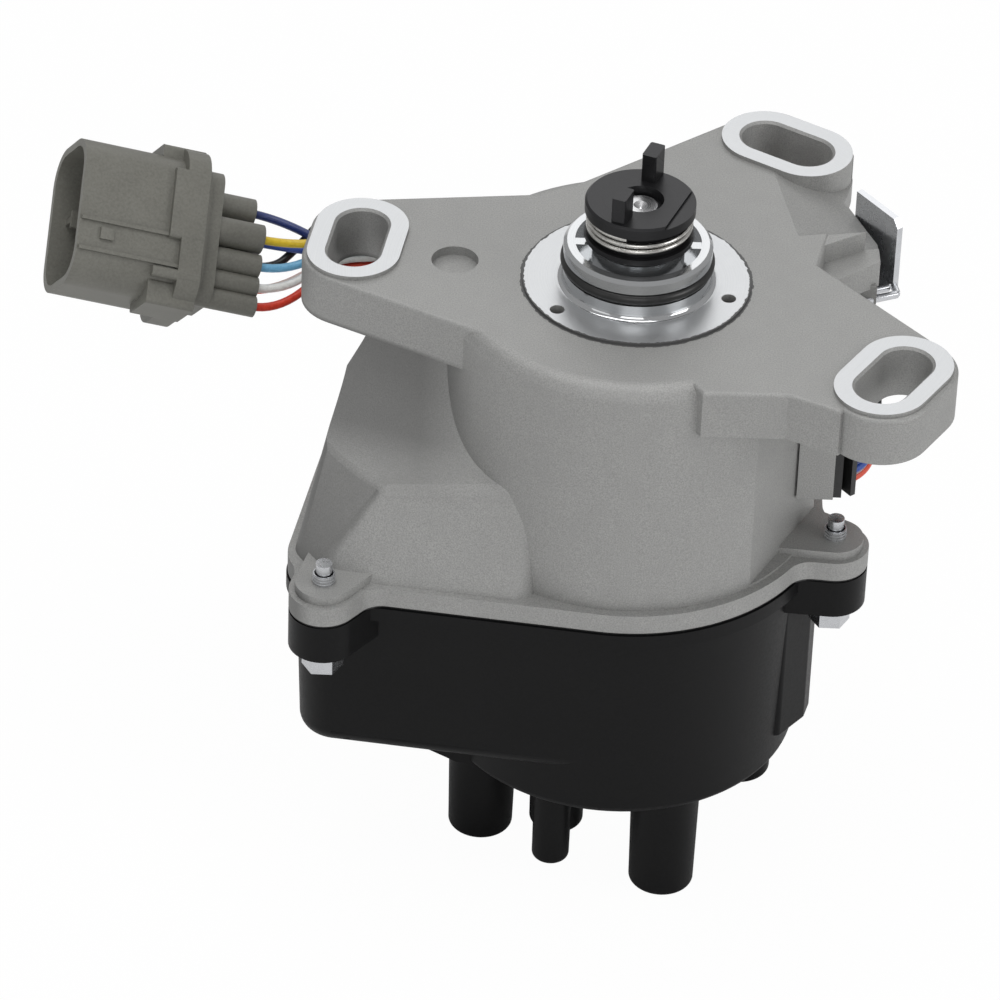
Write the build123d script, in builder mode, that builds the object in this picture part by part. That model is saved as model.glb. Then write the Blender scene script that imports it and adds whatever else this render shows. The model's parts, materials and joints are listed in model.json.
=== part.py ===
from build123d import *
import math
import os

# Ignition distributor. Millimetres. The origin is on the shaft axis, in the plane of the
# mounting ears' machined faces. +Z runs along the shaft to the drive coupling, +X to the right
# seen from the ignition coil's front side, and +Y to the back.

# Driving dimensions of the housing.
EAR_FACE_Z = 0.0
PLATE_TOP_Z = -1.0
PLATE_BOTTOM_Z = -13.0
CORNER_TOP_Z = -1.3
BODY_R = 44.0
BODY_WALL = 4.0
SHOULDER_R = 4.0
FLANGE_TOP_Z = -62.2
SEAM_Z = -67.1
FLANGE_R = 46.1
EAR_ARM_R = 11.8
EAR_NECK_R = 6.0
ARM_EDGE_R = 0.9
EAR_FACE_R = 10.7
EAR_HALF = 5.5
SLOT_R = 6.0
SLOT_MOUTH = 0.6
PILOT_R = 17.0
PILOT_TOP_Z = 9.7
GROOVE_R = 14.9
GROOVE_LOW_Z = 3.3
GROOVE_HIGH_Z = 6.5
SPOT_FACE_R = 26.1
SPOT_FACE_Z = -0.4

# Each ear: slot centre x, y and the slot's direction in degrees.
EARS = {
    "rear": (35.1, 57.4, -31.8),
    "right": (57.6, -34.9, 58.4),
    "left": (-63.9, 11.6, 81.7),
}

# Screws that hold the cap.
CAP_SCREWS = [(-68.6, -39.9), (48.6, -15.3), (-14.0, 51.5)]
CAP_LUG_R = 8.0
NECK_R = 6.0
LUG_TOP_Z = -60.0
CAP_SCREW_R = 2.5
CAP_SCREW_TIP_Z = -54.9
CAP_LUG_BOTTOM_Z = -77.6

# Cap.
SEAL_T = 0.7
CAP_TOP_Z = SEAM_Z - SEAL_T
RIM_BOTTOM_Z = -71.5
CAP_R = 44.0
DOME_BOTTOM_R = 42.6
DOME_BOTTOM_Z = -123.5
POCKET_BOTTOM_Z = -112.6
CAP_WALL = 3.0
TOWER_TIP_Z = -151.3
TOWER_R = 7.65
TOWER_RING_R = 33.4
TOWER_ANGLES = [-68.3, 21.7, 111.7, 201.7]
SOCKET_R = 4.4
SOCKET_DEPTH = 21.0
BRUSH_R = 2.4

# Ignition coil pocket, on the left.
POCKET_CORNER_R = 12.0
SHELL_LOW = -62.4
POCKET_X = -65.5
POCKET_FRONT_Y = -25.7
POCKET_BACK_X = -59.0
POCKET_BACK_Y = 14.0
CREST_R = 3.0
# Cross-sections of the coil pocket from the seam upwards: height, outline, corner radius.
POCKET_LEVELS = [
    (SHELL_LOW, [(-20, -42.4), (-70.5, -35.7), (-76.1, -26), (-69.6, 12), (-64, 21.5), (-24, 34.6), (-18, 20)], 6.0),
    (-23.0, [(-20, -32.7), (-44.1, -25.5), (-66.0, -8.8), (-60.8, 6), (-58.5, 13), (-24, 31.6), (-18, 20)], 2.0),
    (-12.8, [(-20, -26.0), (-46, -18.5), (-60.6, -8.6), (-58, 3), (-57, 12), (-24, 29.6), (-18, 20)], 1.5),
]
# The hollow is a scoop with a round bottom.
HOLLOW_AT = (-42.0, -38.3, -12.8)
HOLLOW_DIR = (0.964, -0.229, 0.134)
HOLLOW_R = 26.0

# Shaft line.
SHAFT_R = 5.0
SHAFT_END_R = 4.45
SHAFT_TOP_Z = 19.6
SHAFT_BOTTOM_Z = -84.0
RUN_CLEARANCE = 0.03
BEARING_R = 13.0
BEARING_TOP_Z = -14.0
BEARING_BOTTOM_Z = -22.0
SEAL_R = 11.0
BUSH_R = 7.5
COUPLING_R = 12.6
COUPLING_TOP_Z = 21.2
COUPLING_BOTTOM_Z = 11.0
BLADE_R = 28.9

# Inside the body.
POST_RING_R = BODY_R - 7.0
POST_R = 3.4
BASE_POSTS = [20, 140, 262]
COVER_POSTS = [78, 200, 318]
BASE_TOP_Z = -53.4
BASE_T = 1.6
PLATE_GAP = 0.6
CONDENSER_R = 5.2
COVER_TOP_Z = -60.2
COVER_T = 1.4
SMALL_SCREW_R = 1.5
MODULE_TOP_Z = -9.0
MODULE_FRONT_Y = 18.6
MODULE_BACK_Y = 32.4
MODULE_SCREWS = [(-12.5, 25.5), (12.5, 25.5)]
RELUCTOR_R = 14.0
POLE_GAP = 0.8
COIL_X0 = -63.0
COIL_X1 = -43.0
COIL_SEAT_Z = -49.0
COIL_BOTTOM_Z = -101.0
COIL_ARM = 3.8
COIL_MID_X = (COIL_X0 + COIL_X1) / 2
COIL_SCREWS = [(COIL_X0 + COIL_ARM / 2, 0.0), (COIL_X1 - COIL_ARM / 2, 0.0)]
COIL_SCREW_R = 1.6
COIL_POST_Y = 12.3
COIL_TERMINALS = [(COIL_MID_X - 3.8, -18.0), (COIL_MID_X + 3.8, -18.0)]
BRACKET_SEAT_Z = -17.0
BRACKET_SCREW = (50.0, 26.5)

# Harness.
WIRE_R = 1.0
WIRE_PITCH = 2.3

os.makedirs("parts", exist_ok=True)


def save(part, name):
    part.label = name
    export_step(part, "parts/" + name + ".step")


def ring(outer_r, inner_r, low_z, high_z, at=(0, 0)):
    """A plain ring or, with inner_r 0, a disc, standing on low_z."""
    with BuildPart(mode=Mode.PRIVATE) as made:
        with BuildSketch(Plane.XY.offset(low_z)):
            with Locations(at):
                Circle(outer_r)
                if inner_r > 0:
                    Circle(inner_r, mode=Mode.SUBTRACT)
        extrude(amount=high_z - low_z)
    return made.part


def block(x0, x1, y0, y1, z0, z1):
    """A box between two corners."""
    body = Box(x1 - x0, y1 - y0, z1 - z0, mode=Mode.PRIVATE)
    return Pos((x0 + x1) / 2, (y0 + y1) / 2, (z0 + z1) / 2) * body


def polar(radius, angle):
    return (radius * math.cos(math.radians(angle)), radius * math.sin(math.radians(angle)))


def slot_ends(x, y, angle):
    dx, dy = polar(EAR_HALF, angle)
    return [(x - dx, y - dy), (x + dx, y + dy)]


def hull_of(circles):
    """The outline drawn tight around circles given as (x, y, radius)."""
    with BuildSketch(mode=Mode.PRIVATE) as made:
        for x, y, radius in circles:
            with Locations((x, y)):
                Circle(radius)
        make_hull()
    return made.sketch


def stadium(x, y, angle, radius):
    return hull_of([(px, py, radius) for px, py in slot_ends(x, y, angle)])


def shell_outline(inset):
    """The body's outline at the seam without its screw lugs, moved in by inset."""
    return hull_of([
        (0, 0, FLANGE_R - inset),
        (POCKET_X, POCKET_FRONT_Y, POCKET_CORNER_R - inset),
        (POCKET_BACK_X, POCKET_BACK_Y, POCKET_CORNER_R - inset),
    ])


def lug_outline(x, y, radius):
    """One screw lug with its neck to the body."""
    reach = math.hypot(x, y)
    if x < -50:
        root = (POCKET_X + 3.5, POCKET_FRONT_Y - 1.0)
    else:
        root = (x * (1 - 14 / reach), y * (1 - 14 / reach))
    return hull_of([(x, y, radius), (root[0], root[1], radius + 3.0)])


def seam_outline(inset, lug_r):
    """The whole outline at the seam, lugs and softened necks included."""
    with BuildSketch(mode=Mode.PRIVATE) as made:
        add(shell_outline(inset))
        for x, y in CAP_SCREWS:
            add(lug_outline(x, y, lug_r))
        own = shell_outline(inset).vertices()
        for x, y in CAP_SCREWS:
            own += lug_outline(x, y, lug_r).vertices()
        necks = made.vertices().filter_by(lambda v: all(math.dist((v.X, v.Y), (o.X, o.Y)) > 0.3 for o in own))
        fillet(necks, radius=NECK_R)
    return made.sketch


def rounded_prism(outline, low_z, high_z, edge_r):
    """A prism on an outline, with its upper edge rounded."""
    with BuildPart(mode=Mode.PRIVATE) as made:
        with BuildSketch(Plane.XY.offset(low_z)):
            add(outline)
        extrude(amount=high_z - low_z)
        upper = made.edges().filter_by(
            lambda e: abs(e.center().Z - high_z) < 0.01 and e.bounding_box().size.Z < 0.01)
        fillet(upper, radius=edge_r)
    return made.part


def body_barrel():
    """The body's round barrel under the plate, with a softened shoulder."""
    with BuildSketch(mode=Mode.PRIVATE) as outline:
        Circle(BODY_R)
    return rounded_prism(outline.sketch, SHELL_LOW, PLATE_TOP_Z, SHOULDER_R)


def ear_arms():
    """The plate's arms as separate prisms that run into the barrel."""
    arms = []
    for name, (x, y, angle) in EARS.items():
        reach = EAR_FACE_R + 0.4 if name == "rear" else EAR_ARM_R
        ends = [(px, py, reach) for px, py in slot_ends(x, y, angle)]
        if name == "right":
            with BuildSketch(mode=Mode.PRIVATE) as outline:
                add(hull_of(ends))
                with BuildLine():
                    Polyline((0, -20), (15.0, -43.3), (34.0, -42.9), (45.5, -48.4), (x, y),
                             (69.3, -22.4), (27.7, 24.6), (0, 20), close=True)
                make_face()
                neck = outline.vertices().filter_by(lambda v: math.dist((v.X, v.Y), (43.0, -46.6)) < 3.0)
                fillet(neck, radius=EAR_NECK_R)
            arms.append(rounded_prism(outline.sketch, PLATE_BOTTOM_Z, PLATE_TOP_Z, ARM_EDGE_R))
        else:
            root_r = {"rear": 39.0, "left": 36.5}[name]
            arms.append(rounded_prism(hull_of([(0, 0, root_r)] + ends), PLATE_BOTTOM_Z, PLATE_TOP_Z, ARM_EDGE_R))
    return arms


def plate_corner():
    """The plate's right corner, whose rough face slopes down to the loom bracket."""
    with BuildPart(mode=Mode.PRIVATE) as made:
        with BuildSketch(Plane.XY.offset(PLATE_BOTTOM_Z)):
            with BuildLine():
                Polyline((20, 40), (44, 47), (49.5, 41.0), (56.0, 27.6), (56.4, 18.8), (46.5, 10.9), (36, 9),
                         (20, -10), close=True)
            make_face()
        extrude(amount=CORNER_TOP_Z - PLATE_BOTTOM_Z)
        with BuildSketch(Plane(origin=(39.5, 15.0, CORNER_TOP_Z), x_dir=(0.535, -0.845, 0),
                               z_dir=(0.845, 0.535, 0))):
            with BuildLine():
                Polyline((0, 0), (11, -9.9), (40, -9.9), (40, 5), (0, 5), close=True)
            make_face()
        extrude(amount=40, both=True, mode=Mode.SUBTRACT)
    return made.part


def coil_pocket():
    """Housing of the coil: it narrows from the seam up to the left arm, with a hollow scooped out."""
    with BuildPart(mode=Mode.PRIVATE) as made:
        for lower, upper in zip(POCKET_LEVELS, POCKET_LEVELS[1:]):
            for z, points, corner_r in (lower, upper):
                with BuildSketch(Plane.XY.offset(z)) as level:
                    with BuildLine():
                        Polyline(*points, close=True)
                    make_face()
                    fillet(level.vertices(), radius=corner_r)
            loft(ruled=True)
        # hollow between the pocket's crest and the arm
        with BuildSketch(Plane(origin=HOLLOW_AT, x_dir=(0, 1, 0), z_dir=HOLLOW_DIR)):
            Circle(HOLLOW_R)
        extrude(amount=70, both=True, mode=Mode.SUBTRACT)
        crest = made.edges().filter_by(
            lambda e: e.center().Y < -10 and -42 < e.center().Z < -33 and max((e @ 0).Z, (e @ 1).Z) < -35.5)
        fillet(crest, radius=CREST_R)
    return made.part


def hex_head(across_flats, height, low_z, at):
    with BuildPart(mode=Mode.PRIVATE) as made:
        with BuildSketch(Plane.XY.offset(low_z)):
            with Locations(at):
                RegularPolygon(across_flats / 2, 6, major_radius=False)
        extrude(amount=height)
    return made.part


# Housing, one die casting with machined faces.
FLAT_ANGLE = -27.8
FLAT_DISTANCE = 40.9
with BuildPart() as housing:
    # main body
    add(body_barrel())
    # top plate: an arm to each ear and the right edge between two of them
    for arm in ear_arms():
        add(arm)
    # flat on the right, behind the front corner
    with BuildSketch(Plane.XY.offset(-61.5)):
        with Locations(Location(polar(FLAT_DISTANCE + 10, FLAT_ANGLE), FLAT_ANGLE)):
            Rectangle(20, 33.0)
    extrude(amount=61.5 + PLATE_BOTTOM_Z, mode=Mode.SUBTRACT)
    # the plate falls away between the rear ear and its own right corner
    add(plate_corner())
    with BuildSketch(Plane(origin=(34, 36, PLATE_TOP_Z), x_dir=(0.98, 0.196, 0), z_dir=(0.196, -0.98, 0))):
        with BuildLine():
            Polyline((0, 0), (0, 3), (44, 3), (44, -14.5), close=True)
        make_face()
    extrude(amount=16, both=True, mode=Mode.SUBTRACT)
    # raised ear faces
    for x, y, angle in EARS.values():
        with BuildSketch(Plane.XY.offset(PLATE_BOTTOM_Z + 1.5)):
            add(stadium(x, y, angle, EAR_FACE_R))
        extrude(amount=EAR_FACE_Z - PLATE_BOTTOM_Z - 1.5)
    add(coil_pocket())
    # flange at the seam, with its screw lugs
    with BuildSketch(Plane.XY.offset(SEAM_Z)):
        add(seam_outline(0, CAP_LUG_R))
    extrude(amount=FLANGE_TOP_Z - SEAM_Z)
    with BuildSketch(Plane.XY.offset(FLANGE_TOP_Z)):
        for x, y in CAP_SCREWS:
            add(lug_outline(x, y, CAP_LUG_R - 1.4))
    extrude(amount=LUG_TOP_Z - FLANGE_TOP_Z)

    # inside of the body and of the coil pocket
    with BuildSketch(Plane.XY.offset(SEAM_Z)):
        Circle(BODY_R - BODY_WALL)
    extrude(amount=-9.0 - SEAM_Z, mode=Mode.SUBTRACT)
    with BuildSketch(Plane.XY.offset(SEAM_Z)):
        add(hull_of([
            (0, 0, FLANGE_R - BODY_WALL - 1.2),
            (POCKET_X + 0.4, POCKET_FRONT_Y - 0.2, 6.6),
            (POCKET_X + 1.6, -10.0, 6.4),
            (POCKET_BACK_X - 1.2, POCKET_BACK_Y - 1.0, 6.0),
        ]))
    with BuildSketch(Plane.XY.offset(-46.0)):
        add(hull_of([
            (0, 0, BODY_R - BODY_WALL - 0.5),
            (-56.5, -22.0, 4.0),
            (-62.2, -9.0, 4.6),
            (-58.2, 10.5, 4.8),
        ]))
    loft(mode=Mode.SUBTRACT)
    with BuildSketch(Plane.XY.offset(-46.5)):
        with BuildLine():
            Polyline((-35, -3), (-56, -3), (-57, 10), (-48, 15), (-35, 15), close=True)
        make_face()
        fillet(vertices(), radius=1.5)
    extrude(amount=20.0, mode=Mode.SUBTRACT)

    # boss for the shaft's bearing and seal, posts for the inner screws, seat for the coil
    with BuildSketch(Plane.XY.offset(-26.0)):
        Circle(17.5)
    extrude(amount=20.0)
    for angles, low_z in ((BASE_POSTS, BASE_TOP_Z), (COVER_POSTS, COVER_TOP_Z)):
        with BuildSketch(Plane.XY.offset(low_z)):
            with Locations(*[polar(POST_RING_R, angle) for angle in angles]):
                Circle(POST_R)
        extrude(amount=-8.0 - low_z)
        with BuildSketch(Plane.XY.offset(low_z)):
            with Locations(*[polar(POST_RING_R, angle) for angle in angles]):
                Circle(SMALL_SCREW_R)
        extrude(amount=12.0, mode=Mode.SUBTRACT)
    add(block(COIL_X0, COIL_X1, -7, 7, COIL_SEAT_Z, -44.5))
    with BuildSketch(Plane.XY.offset(COIL_SEAT_Z)):
        with Locations(*COIL_SCREWS):
            Circle(COIL_SCREW_R)
    extrude(amount=7.5, mode=Mode.SUBTRACT)
    with BuildSketch(Plane.XY.offset(MODULE_TOP_Z)):
        with Locations(*MODULE_SCREWS):
            Circle(SMALL_SCREW_R)
    extrude(amount=6.0, mode=Mode.SUBTRACT)

    # lower pad that the bracket's foot is screwed to
    with BuildSketch(Plane.XY.offset(BRACKET_SEAT_Z)):
        with BuildLine():
            Polyline((42, 19), (44, 32), (50, 34.5), (54.5, 24), (56, 17), close=True)
        make_face()
    extrude(amount=5.0)
    with BuildSketch(Plane.XY.offset(BRACKET_SEAT_Z)):
        with Locations(BRACKET_SCREW):
            Circle(SMALL_SCREW_R + 0.5)
    extrude(amount=8.0, mode=Mode.SUBTRACT)
    with BuildSketch(Plane.XY.offset(-50.0)):
        with Locations((43.2, -4.5)):
            Rectangle(8.4, 21)
    extrude(amount=50.0 + PLATE_BOTTOM_Z + 1)

    # machined spot face and pilot with its O-ring groove
    with BuildSketch(Plane.XY.offset(-3.0)):
        Circle(SPOT_FACE_R)
    extrude(amount=3.0 + SPOT_FACE_Z)
    with BuildSketch(Plane.XZ):
        with BuildLine():
            Polyline((0, -2), (18.4, -2), (18.4, SPOT_FACE_Z))
            RadiusArc((18.4, SPOT_FACE_Z), (PILOT_R, SPOT_FACE_Z + 1.4), 1.4)
            Polyline((PILOT_R, SPOT_FACE_Z + 1.4), (PILOT_R, GROOVE_LOW_Z), (GROOVE_R, GROOVE_LOW_Z),
                     (GROOVE_R, GROOVE_HIGH_Z), (PILOT_R, GROOVE_HIGH_Z), (PILOT_R, PILOT_TOP_Z - 0.8),
                     (PILOT_R - 0.8, PILOT_TOP_Z), (14.4, PILOT_TOP_Z), (14.4, PILOT_TOP_Z - 3.0),
                     (10.6, PILOT_TOP_Z - 3.0), (10.6, PILOT_TOP_Z), (0, PILOT_TOP_Z), (0, -2))
        make_face()
    revolve(axis=Axis.Z)
    # two ribs cross the ring recess in the pilot's end
    with BuildSketch(Plane.XY.offset(PILOT_TOP_Z - 3.1)):
        for side in (-1, 1):
            with Locations((side * 12.5, 0)):
                Rectangle(4.4, 2.6)
    extrude(amount=2.5)
    # two small holes in the spot face
    with Locations(Location((-17.9, -13.8, SPOT_FACE_Z)), Location((20.9, -6.9, SPOT_FACE_Z))):
        Hole(radius=1.7, depth=5.0)
    # round dimple by the left ear
    with Locations(Location((-41.5, 5.4, PLATE_TOP_Z))):
        Hole(radius=5.4, depth=2.2)

    # seats for the bush, the oil seal and the ball bearing
    with BuildSketch(Plane.XY.offset(-27.0)):
        Circle(SHAFT_R + 0.8)
    extrude(amount=40.0, mode=Mode.SUBTRACT)
    with BuildSketch(Plane.XY.offset(-27.0)):
        Circle(BEARING_R)
    extrude(amount=27.0 + BEARING_TOP_Z, mode=Mode.SUBTRACT)
    with BuildSketch(Plane.XY.offset(BEARING_TOP_Z - 1)):
        Circle(SEAL_R)
    extrude(amount=8.4, mode=Mode.SUBTRACT)
    with BuildSketch(Plane.XY.offset(-7.0)):
        Circle(BUSH_R)
    extrude(amount=12.0, mode=Mode.SUBTRACT)
    with BuildSketch(Plane.XY.offset(BEARING_BOTTOM_Z - 1.2)):
        Circle(BEARING_R + 1.0)
    extrude(amount=1.2, mode=Mode.SUBTRACT)

    # slots in the ears, with a softened mouth
    with BuildSketch(Plane.XY.offset(-14.0)):
        for x, y, angle in EARS.values():
            add(stadium(x, y, angle, SLOT_R))
    extrude(amount=15.0, mode=Mode.SUBTRACT)
    for x, y, angle in EARS.values():
        with BuildSketch(Plane.XY.offset(EAR_FACE_Z - SLOT_MOUTH)):
            add(stadium(x, y, angle, SLOT_R - 0.02))
        with BuildSketch(Plane.XY.offset(EAR_FACE_Z)):
            add(stadium(x, y, angle, SLOT_R + SLOT_MOUTH))
        loft(mode=Mode.SUBTRACT)

    # threaded holes for the cap's screws
    with BuildSketch(Plane.XY.offset(SEAM_Z)):
        with Locations(*CAP_SCREWS):
            Circle(CAP_SCREW_R)
    extrude(amount=12.0, mode=Mode.SUBTRACT)
    # slot in the pad for the wire grommet
    with BuildSketch(Plane.XY.offset(-49.0)):
        with Locations((44.0, -11.2)):
            Rectangle(12.0, 5.4)
    extrude(amount=12.0, mode=Mode.SUBTRACT)
print("housing", round(housing.part.volume), housing.part.is_valid, len(housing.part.solids()))
save(housing.part, "housing")


# Parts fixed in the housing.
save(revolve(Plane.XZ * Pos((GROOVE_R + 1.35), 4.9) * Circle(1.35), Axis.Z), "pilot_o_ring")
save(ring(BUSH_R, SHAFT_R + RUN_CLEARANCE, -5.0, 5.0), "shaft_bush")

with BuildPart() as oil_seal:
    with BuildSketch(Plane.XZ):
        with BuildLine():
            Polyline((SEAL_R, -13.6), (SEAL_R, -6.8), (7.6, -6.8), (7.6, -8.0), (9.6, -8.0), (9.6, -11.6),
                     (6.4, -12.4), (SHAFT_R + 0.05, -11.6), (SHAFT_R + 0.05, -12.6), (6.4, -13.6), close=True)
        make_face()
    revolve(axis=Axis.Z)
save(oil_seal.part, "oil_seal")

# ball bearing: grooved outer and inner rings with eight balls between them
BALL_R = 1.9
BALL_RING_R = 9.2
BEARING_MID_Z = (BEARING_TOP_Z + BEARING_BOTTOM_Z) / 2
with BuildPart() as bearing_outer_ring:
    add(ring(BEARING_R, 10.4, BEARING_BOTTOM_Z, BEARING_TOP_Z))
    with BuildSketch(Plane.XZ):
        with Locations((BALL_RING_R, BEARING_MID_Z)):
            Circle(BALL_R + 0.05)
    revolve(axis=Axis.Z, mode=Mode.SUBTRACT)
save(bearing_outer_ring.part, "bearing_outer_ring")
with BuildPart() as bearing_inner_ring:
    add(ring(8.0, SHAFT_R, BEARING_BOTTOM_Z, BEARING_TOP_Z))
    with BuildSketch(Plane.XZ):
        with Locations((BALL_RING_R, BEARING_MID_Z)):
            Circle(BALL_R - 0.02)
    revolve(axis=Axis.Z, mode=Mode.SUBTRACT)
save(bearing_inner_ring.part, "bearing_inner_ring")
with BuildPart() as bearing_balls:
    with Locations(*[(*polar(BALL_RING_R, i * 45), BEARING_MID_Z) for i in range(8)]):
        Sphere(BALL_R)
save(bearing_balls.part, "bearing_balls")

with BuildPart() as bearing_circlip:
    add(ring(BEARING_R + 0.9, BEARING_R - 1.4, BEARING_BOTTOM_Z - 1.15, BEARING_BOTTOM_Z - 0.05))
    with BuildSketch(Plane.XY.offset(BEARING_BOTTOM_Z - 2)):
        with Locations((0, -BEARING_R)):
            Rectangle(6.0, 8.0)
    extrude(amount=3, mode=Mode.SUBTRACT)
save(bearing_circlip.part, "bearing_circlip")

# plate that carries the three pickups
with BuildPart() as pickup_base:
    with BuildSketch(Plane.XY.offset(BASE_TOP_Z - BASE_T)):
        Circle(BODY_R - BODY_WALL - PLATE_GAP)
        Circle(16.5, mode=Mode.SUBTRACT)
        with Locations(*[polar(POST_RING_R, angle) for angle in COVER_POSTS]):
            Circle(POST_R + 1.2, mode=Mode.SUBTRACT)
        with Locations(*[polar(POST_RING_R, angle) for angle in BASE_POSTS]):
            Circle(SMALL_SCREW_R + 0.2, mode=Mode.SUBTRACT)
    extrude(amount=BASE_T)
save(pickup_base.part, "pickup_base")


def pan_screw(at, seat_z, length, head_r=2.9, head_t=2.0, shank_r=SMALL_SCREW_R):
    """A round-headed screw put in from below, with a cross-shaped recess in its head."""
    with BuildPart(mode=Mode.PRIVATE) as made:
        with BuildSketch(Plane.XY.offset(seat_z - head_t)):
            with Locations(at):
                Circle(head_r)
        extrude(amount=head_t)
        with BuildSketch(Plane.XY.offset(seat_z)):
            with Locations(at):
                Circle(shank_r)
        extrude(amount=length)
        with BuildSketch(Plane.XY.offset(seat_z - head_t)):
            with Locations(at):
                Rectangle(head_r * 1.1, 0.8)
                Rectangle(0.8, head_r * 1.1)
        extrude(amount=1.0, mode=Mode.SUBTRACT)
    return made.part


with BuildPart() as base_screws:
    for angle in BASE_POSTS:
        add(pan_screw(polar(POST_RING_R, angle), BASE_TOP_Z - BASE_T, 9.0, head_r=2.6))
save(base_screws.part, "base_screws")

# a shield that keeps carbon dust and water out of the pickups, with an opening for the coil
with BuildPart() as leak_cover:
    with BuildSketch(Plane.XY.offset(COVER_TOP_Z - COVER_T)):
        Circle(BODY_R - BODY_WALL - PLATE_GAP - 0.2)
        Circle(7.4, mode=Mode.SUBTRACT)
        with Locations(*[polar(POST_RING_R, angle) for angle in COVER_POSTS]):
            Circle(SMALL_SCREW_R + 0.2, mode=Mode.SUBTRACT)
    extrude(amount=COVER_T)
    with BuildSketch(Plane.XY.offset(COVER_TOP_Z)):
        Circle(9.0)
        Circle(7.4, mode=Mode.SUBTRACT)
    extrude(amount=4.0)
    with BuildSketch(Plane.XY.offset(COVER_TOP_Z - COVER_T - 1.2)):
        for ring_r in (14.0, 24.0):
            Circle(ring_r)
            Circle(ring_r - 1.4, mode=Mode.SUBTRACT)
            if ring_r < 20:
                Circle(9.0)
                Circle(7.4, mode=Mode.SUBTRACT)
    extrude(amount=1.2)
save(leak_cover.part, "leak_cover")
with BuildPart() as cover_screws:
    for angle in COVER_POSTS:
        add(pan_screw(polar(POST_RING_R, angle), COVER_TOP_Z - COVER_T, 9.0, head_r=2.6))
save(cover_screws.part, "cover_screws")


def pickup(angle, mid_z):
    """A coil on a moulded foot, with its pole piece pointing at the shaft."""
    with BuildPart(mode=Mode.PRIVATE) as made:
        add(block(22.0, 31.5, -6, 6, BASE_TOP_Z, mid_z + 5.0))
        with BuildSketch(Plane.YZ.offset(18.0)):
            with Locations((0, mid_z)):
                Circle(4.4)
        extrude(amount=6.0)
        with BuildSketch(Plane.YZ.offset(RELUCTOR_R + POLE_GAP)):
            with Locations((0, mid_z)):
                Rectangle(3.0, 3.2)
        extrude(amount=5.0)
    return Rot(0, 0, angle) * made.part


CRANK_Z = -30.0
TDC_Z = -38.0
CYLINDER_Z = -46.0
save(pickup(-78, CRANK_Z), "crank_pickup")
save(pickup(-20, TDC_Z), "tdc_pickup")
save(pickup(172, CYLINDER_Z), "cylinder_pickup")

HEAT_SINK_T = 1.8
with BuildPart() as module_heat_sink:
    add(block(-17, 17, MODULE_FRONT_Y, MODULE_BACK_Y, MODULE_TOP_Z - HEAT_SINK_T, MODULE_TOP_Z))
    with BuildSketch(Plane.XY.offset(MODULE_TOP_Z - HEAT_SINK_T)):
        with Locations(*MODULE_SCREWS):
            Circle(SMALL_SCREW_R + 0.2)
    extrude(amount=HEAT_SINK_T, mode=Mode.SUBTRACT)
save(module_heat_sink.part, "module_heat_sink")
with BuildPart() as ignition_module:
    add(block(-15.5, 15.5, MODULE_FRONT_Y + 0.5, MODULE_BACK_Y - 0.5, -20.5, MODULE_TOP_Z - HEAT_SINK_T))
    with BuildSketch(Plane.XY.offset(-23.5)):
        with Locations(*[(i * 4.4, 21.4) for i in range(-2, 3)]):
            Rectangle(0.8, 2.4)
    extrude(amount=3.0)
    for x, y in MODULE_SCREWS:
        with BuildSketch(Plane.XY.offset(-21)):
            with Locations((x, y)):
                Circle(SMALL_SCREW_R + 0.2)
        extrude(amount=12, mode=Mode.SUBTRACT)
save(ignition_module.part, "ignition_module")
with BuildPart() as module_screws:
    for at in MODULE_SCREWS:
        add(pan_screw(at, -20.5, 16.0, head_r=2.6))
save(module_screws.part, "module_screws")

with BuildPart() as noise_condenser:
    with BuildSketch(Plane.XY.offset(-34.0)):
        with Locations(polar(BODY_R - BODY_WALL - CONDENSER_R - 2.4, 38.1)):
            Circle(CONDENSER_R)
    extrude(amount=25.0)
    condenser_rims = noise_condenser.edges().filter_by(GeomType.CIRCLE)
    fillet(condenser_rims, radius=0.8)
save(noise_condenser.part, "noise_condenser")

# Ignition coil.
with BuildPart() as coil_core:
    add(block(COIL_X0, COIL_X1, -8, 8, COIL_BOTTOM_Z, COIL_SEAT_Z))
    add(block(COIL_X0 + COIL_ARM, COIL_X1 - COIL_ARM, -9, 9, COIL_BOTTOM_Z + 4, COIL_SEAT_Z - 4),
        mode=Mode.SUBTRACT)
    with BuildSketch(Plane.XY.offset(COIL_BOTTOM_Z)):
        with Locations(*COIL_SCREWS):
            Circle(COIL_SCREW_R)
    extrude(amount=60, mode=Mode.SUBTRACT)
save(coil_core.part, "coil_core")
with BuildPart() as coil_body:
    with BuildSketch(Plane.XY.offset(COIL_BOTTOM_Z + 4)):
        with Locations((COIL_MID_X, -5.0)):
            RectangleRounded(COIL_X1 - COIL_X0 - 2 * COIL_ARM, 40.0, 3.0)
    extrude(amount=COIL_SEAT_Z - COIL_BOTTOM_Z - 8)
    with BuildSketch(Plane.XY.offset(COIL_BOTTOM_Z - 3.5)):
        with Locations((COIL_MID_X, COIL_POST_Y)):
            Circle(4.0)
        with Locations(*COIL_TERMINALS):
            Circle(3.0)
    extrude(amount=8)
save(coil_body.part, "coil_body")
with BuildPart() as coil_screws:
    for at in COIL_SCREWS:
        add(pan_screw(at, COIL_BOTTOM_Z, 58.0, head_r=2.0, shank_r=COIL_SCREW_R))
save(coil_screws.part, "coil_screws")
with BuildPart() as coil_terminals:
    for at in COIL_TERMINALS:
        add(ring(1.5, 0, COIL_BOTTOM_Z - 6.5, COIL_BOTTOM_Z - 3.5, at=at))
        add(hex_head(4.4, 1.6, COIL_BOTTOM_Z - 5.3, at))
save(coil_terminals.part, "coil_terminals")

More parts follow.
